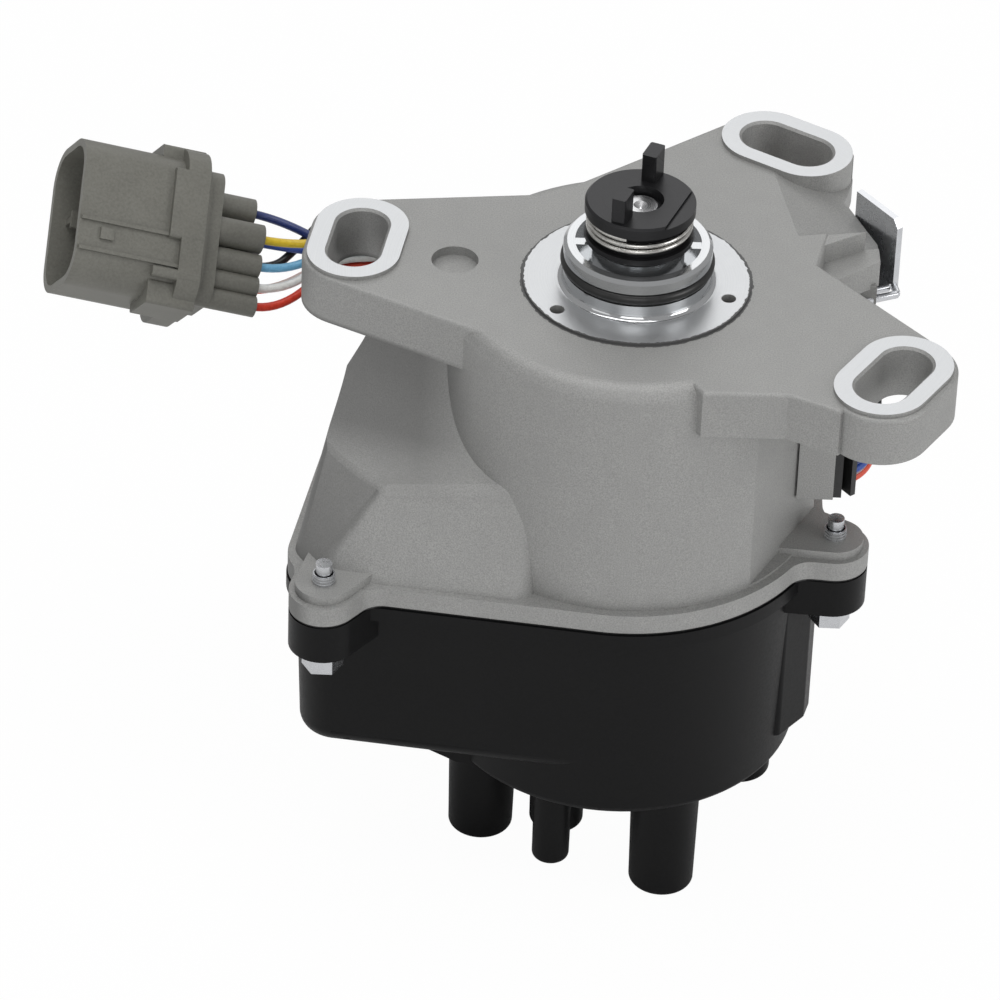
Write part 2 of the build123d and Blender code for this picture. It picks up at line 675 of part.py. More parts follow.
# Seal and cap.
with BuildPart() as cap_seal:
    with BuildSketch(Plane.XY.offset(CAP_TOP_Z)):
        add(seam_outline(0.3, CAP_LUG_R - 0.3))
        add(shell_outline(4.6), mode=Mode.SUBTRACT)
        with Locations(*CAP_SCREWS):
            Circle(CAP_SCREW_R + 0.6, mode=Mode.SUBTRACT)
    extrude(amount=SEAL_T)
save(cap_seal.part, "cap_seal")

FLOOR_Z = DOME_BOTTOM_Z + CAP_WALL
STRIP_T = 0.8
POCKET_FLOOR_Z = POCKET_BOTTOM_Z + CAP_WALL
with BuildPart() as centre_conductor:
    add(block(COIL_MID_X - 3, -36.0, COIL_POST_Y - 2, COIL_POST_Y + 2, POCKET_FLOOR_Z, POCKET_FLOOR_Z + STRIP_T))
    add(block(-36.8, -36.0, 11, 15, FLOOR_Z, POCKET_FLOOR_Z + STRIP_T))
    add(block(-36.8, 2, 11, 15, FLOOR_Z, FLOOR_Z + STRIP_T))
    add(block(-2, 2, -2, 15, FLOOR_Z, FLOOR_Z + STRIP_T))
    add(ring(1.5, 0, POCKET_FLOOR_Z, COIL_BOTTOM_Z - 3.5, at=(COIL_MID_X, COIL_POST_Y)))
save(centre_conductor.part, "centre_conductor")


def electrode(angle):
    """A block that faces the rotor, on a stem that ends at the bottom of its lead socket."""
    with BuildPart(mode=Mode.PRIVATE) as made:
        add(block(29.8, 35.4, -3, 3, FLOOR_Z - 0.5, -92.5))
        add(ring(2.0, 0, TOWER_TIP_Z + SOCKET_DEPTH, FLOOR_Z, at=(TOWER_RING_R, 0)))
    return Rot(0, 0, angle) * made.part


with BuildPart() as cap_terminals:
    for angle in TOWER_ANGLES:
        add(electrode(angle))
save(cap_terminals.part, "cap_terminals")

VENT_BODY = (-13.05, -26.0, 6.35, -138.5)
VENT_TUBE = (-14.1, -31.2, 4.4, -145.5)


def cap_pocket():
    """The cap's deep wall round the coil, closed below by a softened floor."""
    with BuildPart(mode=Mode.PRIVATE) as made:
        with BuildSketch(Plane.XY.offset(CAP_TOP_Z)):
            add(shell_outline(2.0))
        with BuildSketch(Plane.XY.offset(POCKET_BOTTOM_Z)):
            add(shell_outline(3.4))
        loft()
        lower = made.edges().filter_by(
            lambda e: abs(e.center().Z - POCKET_BOTTOM_Z) < 0.01 and e.bounding_box().size.Z < 0.01)
        fillet(lower, radius=4.5)
    return made.part


def cap_dome():
    """The round part of the cap, deeper than the coil's part."""
    with BuildPart(mode=Mode.PRIVATE) as made:
        with BuildSketch(Plane.XZ):
            with BuildLine():
                Polyline((0, CAP_TOP_Z), (CAP_R, CAP_TOP_Z), (DOME_BOTTOM_R, DOME_BOTTOM_Z),
                         (0, DOME_BOTTOM_Z), close=True)
            make_face()
        revolve(axis=Axis.Z)
        lower = made.edges().filter_by(
            lambda e: abs(e.center().Z - DOME_BOTTOM_Z) < 0.01 and e.bounding_box().size.Z < 0.01)
        fillet(lower, radius=2.0)
    return made.part


def tower(x, y, tip_z, tip_r, root_r, soft):
    with BuildPart(mode=Mode.PRIVATE) as made:
        with BuildSketch(Plane.XY.offset(tip_z)):
            with Locations((x, y)):
                Circle(tip_r)
        with BuildSketch(Plane.XY.offset(FLOOR_Z - 1.0)):
            with Locations((x, y)):
                Circle(root_r)
        loft()
        tip = made.edges().filter_by(
            lambda e: abs(e.center().Z - tip_z) < 0.01 and e.bounding_box().size.Z < 0.01)
        fillet(tip, radius=soft)
    return made.part


with BuildPart() as distributor_cap:
    add(cap_pocket())
    add(cap_dome())
    with BuildSketch(Plane.XY.offset(RIM_BOTTOM_Z)):
        add(shell_outline(-0.3))
    extrude(amount=CAP_TOP_Z - RIM_BOTTOM_Z)
    with BuildSketch(Plane.XY.offset(CAP_LUG_BOTTOM_Z)):
        for x, y in CAP_SCREWS:
            add(lug_outline(x, y, CAP_LUG_R))
    extrude(amount=CAP_TOP_Z - CAP_LUG_BOTTOM_Z)
    # upright pad down the dome's right side, sloping in at its foot
    with BuildSketch(Plane.XY.offset(RIM_BOTTOM_Z)):
        with BuildLine():
            Polyline((28, -22), (38.6, -20.6), (44.6, -13), (45.9, -8), (45.9, 9), (41, 16), (28, 16),
                     close=True)
        make_face()
        fillet(vertices(), radius=1.5)
    extrude(amount=-(RIM_BOTTOM_Z - DOME_BOTTOM_Z - 8.0))
    # slope between the coil part's floor and the dome's
    with BuildSketch(Plane.XZ.offset(-16)):
        with BuildLine():
            Polyline((-57, POCKET_BOTTOM_Z + 4), (-30, POCKET_BOTTOM_Z + 4), (-30, DOME_BOTTOM_Z + 0.3),
                     (-37, DOME_BOTTOM_Z + 0.6), (-57, POCKET_BOTTOM_Z), close=True)
        make_face()
    extrude(amount=42.0)
    # inside of the dome and of the pocket
    with BuildSketch(Plane.XY.offset(CAP_TOP_Z)):
        add(shell_outline(5.2))
    with BuildSketch(Plane.XY.offset(POCKET_FLOOR_Z)):
        add(shell_outline(6.6))
    loft(mode=Mode.SUBTRACT)
    with BuildSketch(Plane.XY.offset(FLOOR_Z)):
        Circle(DOME_BOTTOM_R - CAP_WALL - 0.6)
    extrude(amount=CAP_TOP_Z - FLOOR_Z - 10, mode=Mode.SUBTRACT)
    # terminal towers and the vent's chimney
    for angle in TOWER_ANGLES:
        x, y = polar(TOWER_RING_R, angle)
        add(tower(x, y, TOWER_TIP_Z, TOWER_R, TOWER_R + 0.5, 1.2))
    for x, y, radius, tip_z in (VENT_BODY, VENT_TUBE):
        add(tower(x, y, tip_z, radius, radius + 0.2, 1.2))
    # bosses round the electrodes' feet and the brush
    with BuildSketch(Plane.XY.offset(FLOOR_Z - 0.5)):
        with Locations(*[polar(TOWER_RING_R - 0.8, angle) for angle in TOWER_ANGLES]):
            Circle(5.0)
    extrude(amount=8.5)
    with BuildSketch(Plane.XY.offset(FLOOR_Z - 0.5)):
        Circle(6.5)
    extrude(amount=19.0)
    with BuildSketch(Plane.XY.offset(FLOOR_Z)):
        Circle(BRUSH_R + 0.05)
    extrude(amount=20.0, mode=Mode.SUBTRACT)
    # lead sockets
    with BuildSketch(Plane.XY.offset(TOWER_TIP_Z)):
        with Locations(*[polar(TOWER_RING_R, angle) for angle in TOWER_ANGLES]):
            Circle(SOCKET_R)
    extrude(amount=SOCKET_DEPTH, mode=Mode.SUBTRACT)
    # vent passage
    with BuildSketch(Plane.XY.offset(VENT_TUBE[3])):
        with Locations((VENT_TUBE[0], VENT_TUBE[1])):
            Circle(2.2)
    extrude(amount=14.0, mode=Mode.SUBTRACT)
    with BuildSketch(Plane.XY.offset(CAP_LUG_BOTTOM_Z - 1)):
        with Locations(*CAP_SCREWS):
            Circle(CAP_SCREW_R + 0.25)
    extrude(amount=14.0, mode=Mode.SUBTRACT)
    add(cap_terminals.part, mode=Mode.SUBTRACT)
    add(centre_conductor.part, mode=Mode.SUBTRACT)
print("cap", round(distributor_cap.part.volume), distributor_cap.part.is_valid,
      len(distributor_cap.part.solids()))
save(distributor_cap.part, "distributor_cap")

# cap screws: hex heads below, dog points standing above the housing's lugs
WASHER_R = 4.6
HEAD_TOP_Z = CAP_LUG_BOTTOM_Z - 1.0
with BuildPart() as cap_screws:
    for at in CAP_SCREWS:
        add(hex_head(8.3, 5.3, HEAD_TOP_Z - 5.3, at))
        with BuildSketch(Plane.XY.offset(HEAD_TOP_Z)):
            with Locations(at):
                Circle(CAP_SCREW_R)
        extrude(amount=CAP_SCREW_TIP_Z - 2.6 - HEAD_TOP_Z)
        with BuildSketch(Plane.XY.offset(CAP_SCREW_TIP_Z - 2.6)):
            with Locations(at):
                Circle(CAP_SCREW_R - 0.6)
        extrude(amount=2.6)
        with BuildSketch(Plane.XY.offset(HEAD_TOP_Z - 5.3)):
            with Locations(at):
                Circle(2.8)
                Rectangle(6.6, 1.1)
                Rectangle(1.1, 6.6)
        extrude(amount=1.3, mode=Mode.SUBTRACT)
save(cap_screws.part, "cap_screws")
with BuildPart() as cap_washers:
    for at in CAP_SCREWS:
        add(ring(WASHER_R, CAP_SCREW_R, HEAD_TOP_Z, CAP_LUG_BOTTOM_Z, at=at))
save(cap_washers.part, "cap_washers")

# Shaft and all that turns with it.
PIN_Z = 15.6
LUG_DIR = (0.364, 0.931)
LUG_ANGLE = math.degrees(math.atan2(LUG_DIR[1], LUG_DIR[0]))
with BuildPart() as shaft:
    with BuildSketch(Plane.XZ):
        with BuildLine():
            Polyline((0, SHAFT_BOTTOM_Z), (SHAFT_R - 0.6, SHAFT_BOTTOM_Z), (SHAFT_R, SHAFT_BOTTOM_Z + 0.6),
                     (SHAFT_R, -28.0), (6.3, -28.0), (6.3, BEARING_BOTTOM_Z), (SHAFT_R, BEARING_BOTTOM_Z),
                     (SHAFT_R, 9.0), (SHAFT_END_R, 9.6), (SHAFT_END_R, SHAFT_TOP_Z - 0.6),
                     (SHAFT_END_R - 0.6, SHAFT_TOP_Z), (1.6, SHAFT_TOP_Z), (0, SHAFT_TOP_Z - 1.4), close=True)
        make_face()
    revolve(axis=Axis.Z)
    with BuildSketch(Plane((0, 0, PIN_Z), x_dir=(0, 0, 1), z_dir=(-LUG_DIR[1], LUG_DIR[0], 0))):
        Circle(2.0)
    extrude(amount=8, both=True, mode=Mode.SUBTRACT)
    # flat for the rotor arm
    with BuildSketch(Plane.XY.offset(SHAFT_BOTTOM_Z)):
        with Locations((0, 6.0)):
            Rectangle(12, 3.6)
    extrude(amount=14.0, mode=Mode.SUBTRACT)
save(shaft.part, "shaft")

with BuildPart() as drive_coupling:
    with BuildSketch(Plane.XZ):
        with BuildLine():
            Polyline((SHAFT_END_R, COUPLING_BOTTOM_Z), (12.0, COUPLING_BOTTOM_Z), (12.4, 11.4), (12.4, 12.7),
                     (10.9, 12.7), (10.9, 18.3), (COUPLING_R, 18.3), (COUPLING_R, COUPLING_TOP_Z - 0.5),
                     (COUPLING_R - 0.5, COUPLING_TOP_Z), (5.3, COUPLING_TOP_Z), (5.3, 18.6),
                     (SHAFT_END_R, 18.6), close=True)
        make_face()
    revolve(axis=Axis.Z)
    # shallow step on the right of the top face
    with BuildSketch(Plane.XY.offset(COUPLING_TOP_Z - 0.6)):
        with Locations(Location((0.931 * 13.2, -0.364 * 13.2), LUG_ANGLE - 90)):
            Rectangle(8.0, 30.0)
    extrude(amount=1, mode=Mode.SUBTRACT)
    for (x, y), width, length, height in (((2.6, 9.6), 3.5, 5.8, 7.0), ((-4.2, -7.75), 3.3, 5.5, 6.3)):
        with BuildSketch(Plane.XY.offset(COUPLING_TOP_Z - 0.6)):
            with Locations(Location((x, y), LUG_ANGLE)):
                RectangleRounded(length, width, 0.5)
        extrude(amount=height + 0.6)
    with BuildSketch(Plane((0, 0, PIN_Z), x_dir=(0, 0, 1), z_dir=(-LUG_DIR[1], LUG_DIR[0], 0))):
        Circle(2.0)
    extrude(amount=14, both=True, mode=Mode.SUBTRACT)
save(drive_coupling.part, "drive_coupling")

with BuildPart() as coupling_pin:
    with BuildSketch(Plane((0, 0, PIN_Z), x_dir=(0, 0, 1), z_dir=(-LUG_DIR[1], LUG_DIR[0], 0))):
        Circle(2.0)
    extrude(amount=10.6, both=True)
save(coupling_pin.part, "coupling_pin")

with BuildPart() as coupling_spring:
    with BuildLine():
        Helix(pitch=1.55, height=4.2, radius=11.55, center=(0, 0, 13.4))
    with BuildSketch(Plane(origin=(11.55, 0, 13.4), z_dir=(0, 1, 0.02))):
        Circle(0.62)
    sweep()
save(coupling_spring.part, "coupling_spring")

save(ring(10.3, SHAFT_END_R, PILOT_TOP_Z + 0.3, COUPLING_BOTTOM_Z), "thrust_washer")


def toothed_wheel(teeth, tooth_width, mid_z):
    with BuildPart(mode=Mode.PRIVATE) as made:
        with BuildSketch(Plane.XY.offset(mid_z - 2)):
            Circle(11.0)
            with PolarLocations(0, teeth):
                with Locations((12.0, 0)):
                    Rectangle(4.0, tooth_width)
            Circle(SHAFT_R, mode=Mode.SUBTRACT)
        extrude(amount=4.0)
        add(ring(RELUCTOR_R, 0, mid_z - 3, mid_z + 3), mode=Mode.INTERSECT)
    return made.part


save(toothed_wheel(16, 2.2, CRANK_Z), "crank_reluctor")
save(toothed_wheel(4, 4.0, TDC_Z), "tdc_reluctor")
save(toothed_wheel(1, 5.0, CYLINDER_Z), "cylinder_reluctor")
with BuildPart() as reluctor_spacers:
    for low_z in (TDC_Z + 2, CYLINDER_Z + 2, CYLINDER_Z - 5):
        add(ring(8.0, SHAFT_R, low_z, low_z + (4 if low_z > CYLINDER_Z else 3)))
save(reluctor_spacers.part, "reluctor_spacers")

ROTOR_LOW_Z = -94.0
with BuildPart() as rotor_arm:
    add(ring(8.6, 0, ROTOR_LOW_Z, -71.0))
    with BuildSketch(Plane.XY.offset(ROTOR_LOW_Z)):
        with BuildLine():
            Polyline((-12, -9), (4, -10), (25.5, -4.5), (25.5, 4.5), (4, 10), (-12, 9), close=True)
        make_face()
    extrude(amount=4.0)
    with BuildSketch(Plane.XY.offset(ROTOR_LOW_Z + 4.0)):
        with Locations((15, 0)):
            Rectangle(14, 2.4)
    extrude(amount=5.0)
    add(ring(SHAFT_R, 0, SHAFT_BOTTOM_Z, -70.0), mode=Mode.SUBTRACT)
    with BuildSketch(Plane.XY.offset(SHAFT_BOTTOM_Z)):
        with Locations((0, 6.0)):
            Rectangle(7.0, 3.6)
    extrude(amount=12.9)
    # hole for the rotor screw
    with BuildSketch(Plane.XZ.offset(-2.0)):
        with Locations((0, -77.0)):
            Circle(SMALL_SCREW_R)
    extrude(amount=-10.0, mode=Mode.SUBTRACT)
save(rotor_arm.part, "rotor_arm")
with BuildPart() as rotor_blade:
    with BuildSketch(Plane.XY.offset(ROTOR_LOW_Z - 1.2)):
        with BuildLine():
            Polyline((-4, -3.2), (6, -3.2), (24, -3.0), (BLADE_R, -5.5), (BLADE_R, 5.5), (24, 3.0), (6, 3.2),
                     (-4, 3.2), close=True)
        make_face()
    extrude(amount=1.2)
    add(ring(3.0, 0, ROTOR_LOW_Z - 2.6, ROTOR_LOW_Z - 1.2))
    add(ring(BLADE_R, 0, ROTOR_LOW_Z - 5, ROTOR_LOW_Z + 1), mode=Mode.INTERSECT)
save(rotor_blade.part, "rotor_blade")
with BuildPart() as rotor_screw:
    with BuildSketch(Plane.XZ.offset(-4.2)):
        with Locations((0, -77.0)):
            Circle(SMALL_SCREW_R)
    extrude(amount=-4.4)
    with BuildSketch(Plane.XZ.offset(-8.6)):
        with Locations((0, -77.0)):
            Circle(2.6)
    extrude(amount=-1.8)
save(rotor_screw.part, "rotor_screw")

# Carbon brush on its spring, in the cap's middle boss.
BRUSH_TIP_Z = ROTOR_LOW_Z - 2.6 - 0.3
BRUSH_FOOT_Z = BRUSH_TIP_Z - 11.0
with BuildPart() as carbon_brush:
    with BuildSketch(Plane.XY.offset(BRUSH_FOOT_Z)):
        Circle(BRUSH_R)
    extrude(amount=11.0)
    brush_tip = carbon_brush.edges().filter_by(
        lambda e: abs(e.center().Z - BRUSH_TIP_Z) < 0.01 and e.bounding_box().size.Z < 0.01)
    fillet(brush_tip, radius=0.9)
save(carbon_brush.part, "carbon_brush")
SPRING_LOW_Z = FLOOR_Z + STRIP_T
SPRING_WIRE_R = 0.34
with BuildPart() as brush_spring:
    with BuildLine():
        Helix(pitch=2.2, height=BRUSH_FOOT_Z - SPRING_LOW_Z - 2 * SPRING_WIRE_R, radius=1.75,
              center=(0, 0, SPRING_LOW_Z + SPRING_WIRE_R))
    with BuildSketch(Plane(origin=(1.75, 0, SPRING_LOW_Z + SPRING_WIRE_R), z_dir=(0, 1, 0.2))):
        Circle(SPRING_WIRE_R)
    sweep()
save(brush_spring.part, "brush_spring")

# Bracket for the vehicle's loom, on the right.
BRACKET_T = 1.6
BRACKET_PLANE = Plane(origin=(61.5, 27.0, 0.0), x_dir=(-0.6, 0.8, 0), z_dir=(-0.8, -0.6, 0))
with BuildPart() as harness_bracket:
    with BuildSketch(BRACKET_PLANE):
        with BuildLine():
            Polyline((0, 2.0), (0, 18.6), (15.3, 18.6), (15.3, 0), (1.5, 0), close=True)
        make_face()
    extrude(amount=BRACKET_T)
    with BuildSketch(Plane.XY.offset(BRACKET_SEAT_Z - BRACKET_T)):
        with BuildLine():
            Polyline((61.5, 27.0), (52.3, 39.2), (52.3 - 8.8, 39.2 - 6.6), (61.5 - 8.8, 27.0 - 6.6), close=True)
        make_face()
        with Locations(BRACKET_SCREW):
            Circle(SMALL_SCREW_R + 0.7, mode=Mode.SUBTRACT)
    extrude(amount=BRACKET_T)
save(harness_bracket.part, "harness_bracket")
save(pan_screw(BRACKET_SCREW, BRACKET_SEAT_Z - BRACKET_T, 8.0, head_r=4.0, head_t=2.6, shank_r=2.0),
     "bracket_screw")

# Loom connector, held in the air by its short stiff wires.
MOUTH_DIR = Vector(-0.927, -0.189, 0.320).normalized()
TALL_DIR = (Vector(0.057, 0.778, 0.625) - MOUTH_DIR * Vector(0.057, 0.778, 0.625).dot(MOUTH_DIR)).normalized()
CONNECTOR = Plane(origin=(-103.5, 31.9, -16.9), x_dir=TALL_DIR, z_dir=MOUTH_DIR)
COLLAR_LOW = 1.0
COLLAR_HIGH = 6.5
FLOOR_T = 9.0
MOUTH_Z = 31.0
PORT_LENGTH = 15.5
# Each port: position across the connector, its radius, and its wire's colour.
PORTS = [
    (2.4, -4.8, 3.5, "yellow"),
    (-4.3, -4.8, 2.9, "light_blue"),
    (-9.4, -4.8, 2.5, "white"),
    (-14.0, -4.8, 2.5, "red"),
    (11.0, 3.8, 3.4, "dark_blue"),
    (4.2, 3.8, 2.9, "blue"),
    (-1.8, 3.8, 2.7, "black"),
    (-7.6, 3.8, 2.7, "red_white"),
]
with BuildPart() as connector_housing:
    with BuildSketch(CONNECTOR):
        RectangleRounded(35.0, 24.4, 8.0)
    extrude(amount=MOUTH_Z)
    with BuildSketch(CONNECTOR.offset(COLLAR_LOW)):
        RectangleRounded(38.6, 27.0, 7.0)
    extrude(amount=COLLAR_HIGH - COLLAR_LOW)
    # stops above and below the collar, and a rail down its front
    for (x, y), (length, width), reach in (
        ((16.2, -2.5), (7.0, 11.0), 11.4),
        ((-16.8, -5.0), (6.0, 12.0), 12.6),
        ((4.5, -12.6), (17.0, 2.0), 9.4),
        ((-12.6, -12.6), (2.6, 2.0), 12.6),
    ):
        with BuildSketch(CONNECTOR.offset(COLLAR_LOW)):
            with Locations((x, y)):
                RectangleRounded(length, width, 0.9)
        extrude(amount=reach - COLLAR_LOW)
    # ribs along the front that bound a shallow band
    with BuildSketch(CONNECTOR.offset(COLLAR_LOW)):
        with Locations((-3.2, -12.2), (-10.4, -12.2)):
            Rectangle(0.9, 1.3)
    extrude(amount=MOUTH_Z - COLLAR_LOW - 0.4)
    with BuildSketch(CONNECTOR.offset(FLOOR_T)):
        RectangleRounded(31.6, 21.0, 6.4)
    extrude(amount=MOUTH_Z, mode=Mode.SUBTRACT)
    # small nub in the band
    with BuildSketch(CONNECTOR.offset(MOUTH_Z - 8.4)):
        with Locations((-6.2, -12.3)):
            Rectangle(2.8, 1.3)
    extrude(amount=3.2)
    # key inside the mouth
    with BuildSketch(CONNECTOR.offset(FLOOR_T - 1.0)):
        with Locations((1.6, 8.6)):
            Rectangle(1.4, 5.0)
        with Locations((1.6, 6.6)):
            Rectangle(4.0, 1.2)
    extrude(amount=MOUTH_Z - FLOOR_T - 2.5)
    # block behind the collar with round wire ports
    with BuildSketch(CONNECTOR.offset(-4.0)):
        RectangleRounded(32.0, 18.0, 4.0)
    extrude(amount=4.5)
    for x, y, radius, colour in PORTS:
        with BuildSketch(CONNECTOR.offset(-PORT_LENGTH)):
            with Locations((x, y)):
                Circle(radius)
        extrude(amount=PORT_LENGTH)
        with BuildSketch(CONNECTOR.offset(-PORT_LENGTH)):
            with Locations((x, y)):
                Circle(WIRE_R + 0.5)
        extrude(amount=5.0, mode=Mode.SUBTRACT)
save(connector_housing.part, "connector_housing")
with BuildPart() as wire_seals:
    for x, y, radius, colour in PORTS:
        with BuildSketch(CONNECTOR.offset(-PORT_LENGTH + 1.0)):
            with Locations((x, y)):
                Circle(WIRE_R + 0.5)
        extrude(amount=4.0)
save(wire_seals.part, "wire_seals")
with BuildPart() as connector_pins:
    for x, y, radius, colour in PORTS:
        with BuildSketch(CONNECTOR.offset(FLOOR_T)):
            with Locations((x * 0.86, y)):
                Rectangle(2.2, 0.8)
        extrude(amount=13.0)
save(connector_pins.part, "connector_pins")

# The loom's middle line: out of the grommet, round the back of the body, to the connector.
LOOM = [
    (50.6, -10.2, -43.2),
    (53.8, -7.7, -43.2),
    (56.0, -1.2, -40.2),
    (56.2, 11.0, -35.8),
    (48.5, 33.0, -33.0),
    (24.0, 53.0, -31.5),
    (-10.0, 58.0, -30.0),
    (-40.0, 50.5, -26.8),
    (-58.5, 41.5, -23.8),
    (-71.0, 37.0, -21.8),
]

# Rubber grommet and the eight wires.
with BuildPart() as wire_grommet:
    add(block(40.5, 47.4, -13.9, -8.5, -49.0, -37.0))
    add(block(47.4, 49.3, -14.6, -7.8, -49.6, -36.4))
    # outer face turned the way the wires leave
    with BuildSketch(Plane(origin=LOOM[0], x_dir=(0, 0, 1), z_dir=(0.79, 0.61, 0))):
        Rectangle(13.2, 6.4)
    extrude(amount=-1.4)
save(wire_grommet.part, "wire_grommet")

# Each wire's place in the loom: left of its travel, and up.
PLACES = {
    "yellow": (1.0, 1.5),
    "black": (-1.0, 1.5),
    "light_blue": (1.0, 0.5),
    "dark_blue": (-1.0, 0.5),
    "white": (1.0, -0.5),
    "blue": (-1.0, -0.5),
    "red": (1.0, -1.5),
    "red_white": (-1.0, -1.5),
}

# The black wire stands out from the others before it turns down to its port.
BLACK_END = [(-72.0, 46.5, -17.0), (-79.5, 42.5, -25.5)]


def left_of(a, b):
    dx, dy = b[0] - a[0], b[1] - a[1]
    span = math.hypot(dx, dy)
    return (-dy / span, dx / span)


def wire_route(place, port, last_points):
    left, up = place[0] * WIRE_PITCH / 2, place[1] * WIRE_PITCH
    route = []
    for i, (x, y, z) in enumerate(LOOM):
        before = left_of(LOOM[i - 1], LOOM[i]) if i > 0 else left_of(LOOM[0], LOOM[1])
        after = left_of(LOOM[i], LOOM[i + 1]) if i < len(LOOM) - 1 else before
        share = 1 + before[0] * after[0] + before[1] * after[1]
        nx, ny = (before[0] + after[0]) / share, (before[1] + after[1]) / share
        route.append((x + nx * left, y + ny * left, z + up))
    if last_points:
        route[-1:] = last_points
    foot = CONNECTOR.from_local_coords(Vector(port[0], port[1], -PORT_LENGTH + 1.0))
    lead = CONNECTOR.from_local_coords(Vector(port[0], port[1], -PORT_LENGTH - 6.0))
    route.append((lead.X, lead.Y, lead.Z))
    route.append((foot.X, foot.Y, foot.Z))
    return [Vector(*point) for point in route]


def corner_radii(points):
    radii = []
    for before, corner, after in zip(points, points[1:], points[2:]):
        turn = math.radians((corner - before).get_angle(after - corner))
        short = min((corner - before).length, (after - corner).length)
        radii.append(round(0.45 * short / math.tan(turn / 2), 2))
    return radii


for x, y, radius, colour in PORTS:
    points = wire_route(PLACES[colour], (x, y), BLACK_END if colour == "black" else [])
    radii = corner_radii(points)
    with BuildPart() as wire:
        with BuildLine() as middle:
            FilletPolyline(*points, radius=radii)
        with BuildSketch(Plane(origin=points[0], z_dir=points[1] - points[0])):
            Circle(WIRE_R)
        sweep()
    length = sum(edge.length for edge in middle.edges())
    print("wire", colour, "length", round(length, 1), "least radius", min(radii),
          "volume ratio", round(wire.part.volume / (math.pi * WIRE_R ** 2 * length), 4))
    print("  route", [(round(p.X, 2), round(p.Y, 2), round(p.Z, 2)) for p in points])
    save(wire.part, "wire_" + colour)
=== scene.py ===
# %% [markdown]
# # An ignition distributor
# The part is a die-cast body with three slotted ears, a black cap with lead towers under it and
# a short loom that ends in a grey connector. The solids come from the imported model, in metres.
# Here they get their finishes, their loom, their small cast and moulded detail, and a studio.

import json
import math

import bmesh
import bpy
from mathutils import Matrix, Vector


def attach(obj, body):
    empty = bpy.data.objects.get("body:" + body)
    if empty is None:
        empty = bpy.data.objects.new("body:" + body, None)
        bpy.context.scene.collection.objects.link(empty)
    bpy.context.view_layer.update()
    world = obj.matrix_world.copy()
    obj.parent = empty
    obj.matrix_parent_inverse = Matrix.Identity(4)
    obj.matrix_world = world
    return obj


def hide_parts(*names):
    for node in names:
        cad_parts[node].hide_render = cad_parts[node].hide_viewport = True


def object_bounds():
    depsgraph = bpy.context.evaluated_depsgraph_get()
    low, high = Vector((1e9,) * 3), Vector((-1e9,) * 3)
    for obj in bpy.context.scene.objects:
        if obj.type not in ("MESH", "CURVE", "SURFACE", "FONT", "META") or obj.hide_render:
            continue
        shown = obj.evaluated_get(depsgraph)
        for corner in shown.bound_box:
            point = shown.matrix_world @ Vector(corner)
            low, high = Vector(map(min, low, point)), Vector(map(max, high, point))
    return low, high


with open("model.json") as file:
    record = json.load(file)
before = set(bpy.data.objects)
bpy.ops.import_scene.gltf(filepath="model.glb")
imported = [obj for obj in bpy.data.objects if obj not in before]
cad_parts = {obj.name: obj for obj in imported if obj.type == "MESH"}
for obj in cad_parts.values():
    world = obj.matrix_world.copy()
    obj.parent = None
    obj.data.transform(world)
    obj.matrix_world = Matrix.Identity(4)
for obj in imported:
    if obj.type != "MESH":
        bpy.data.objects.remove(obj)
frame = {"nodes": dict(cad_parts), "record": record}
solid_box = [list(corner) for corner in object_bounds()]
print("solids from", solid_box[0], "to", solid_box[1])

MM = 0.001

# %% [markdown]
# ## The camera
# A product photograph like this one is taken with a long lens from about 1.4 m away, which keeps
# the three ears nearly the same size. The camera is placed by its own axes: right, up and back.

# %% Camera
CAMERA_PLACE = Vector((-29.150, -1165.123, 800.599)) * MM
CAMERA_RIGHT = (0.99927937, 0.02263249, 0.03047141)
CAMERA_UP = (-0.03795703, 0.59583633, 0.80220841)
CAMERA_BACK = (0.0, -0.80278692, 0.59626602)
LENS = 223.62

camera_data = bpy.data.cameras.new("studio_camera")
camera_data.lens = LENS
camera_data.sensor_width = 36.0
camera_data.clip_start = 0.05
camera_data.clip_end = 20.0
camera = bpy.data.objects.new("studio_camera", camera_data)
bpy.context.scene.collection.objects.link(camera)
turn = Matrix((CAMERA_RIGHT, CAMERA_UP, CAMERA_BACK)).transposed().to_4x4()
camera.matrix_world = Matrix.Translation(CAMERA_PLACE) @ turn
bpy.context.scene.camera = camera
print("camera at", tuple(round(v, 3) for v in CAMERA_PLACE))

# %% [markdown]
# ## The loom
# Eight insulated wires leave the rubber grommet on the right, run round the back of the body and
# end in the connector. Each one is 2 mm thick and stiff enough to hold the connector up. A NURBS
# spline is the natural tool: it follows a few route points smoothly, and its bevel makes it round.

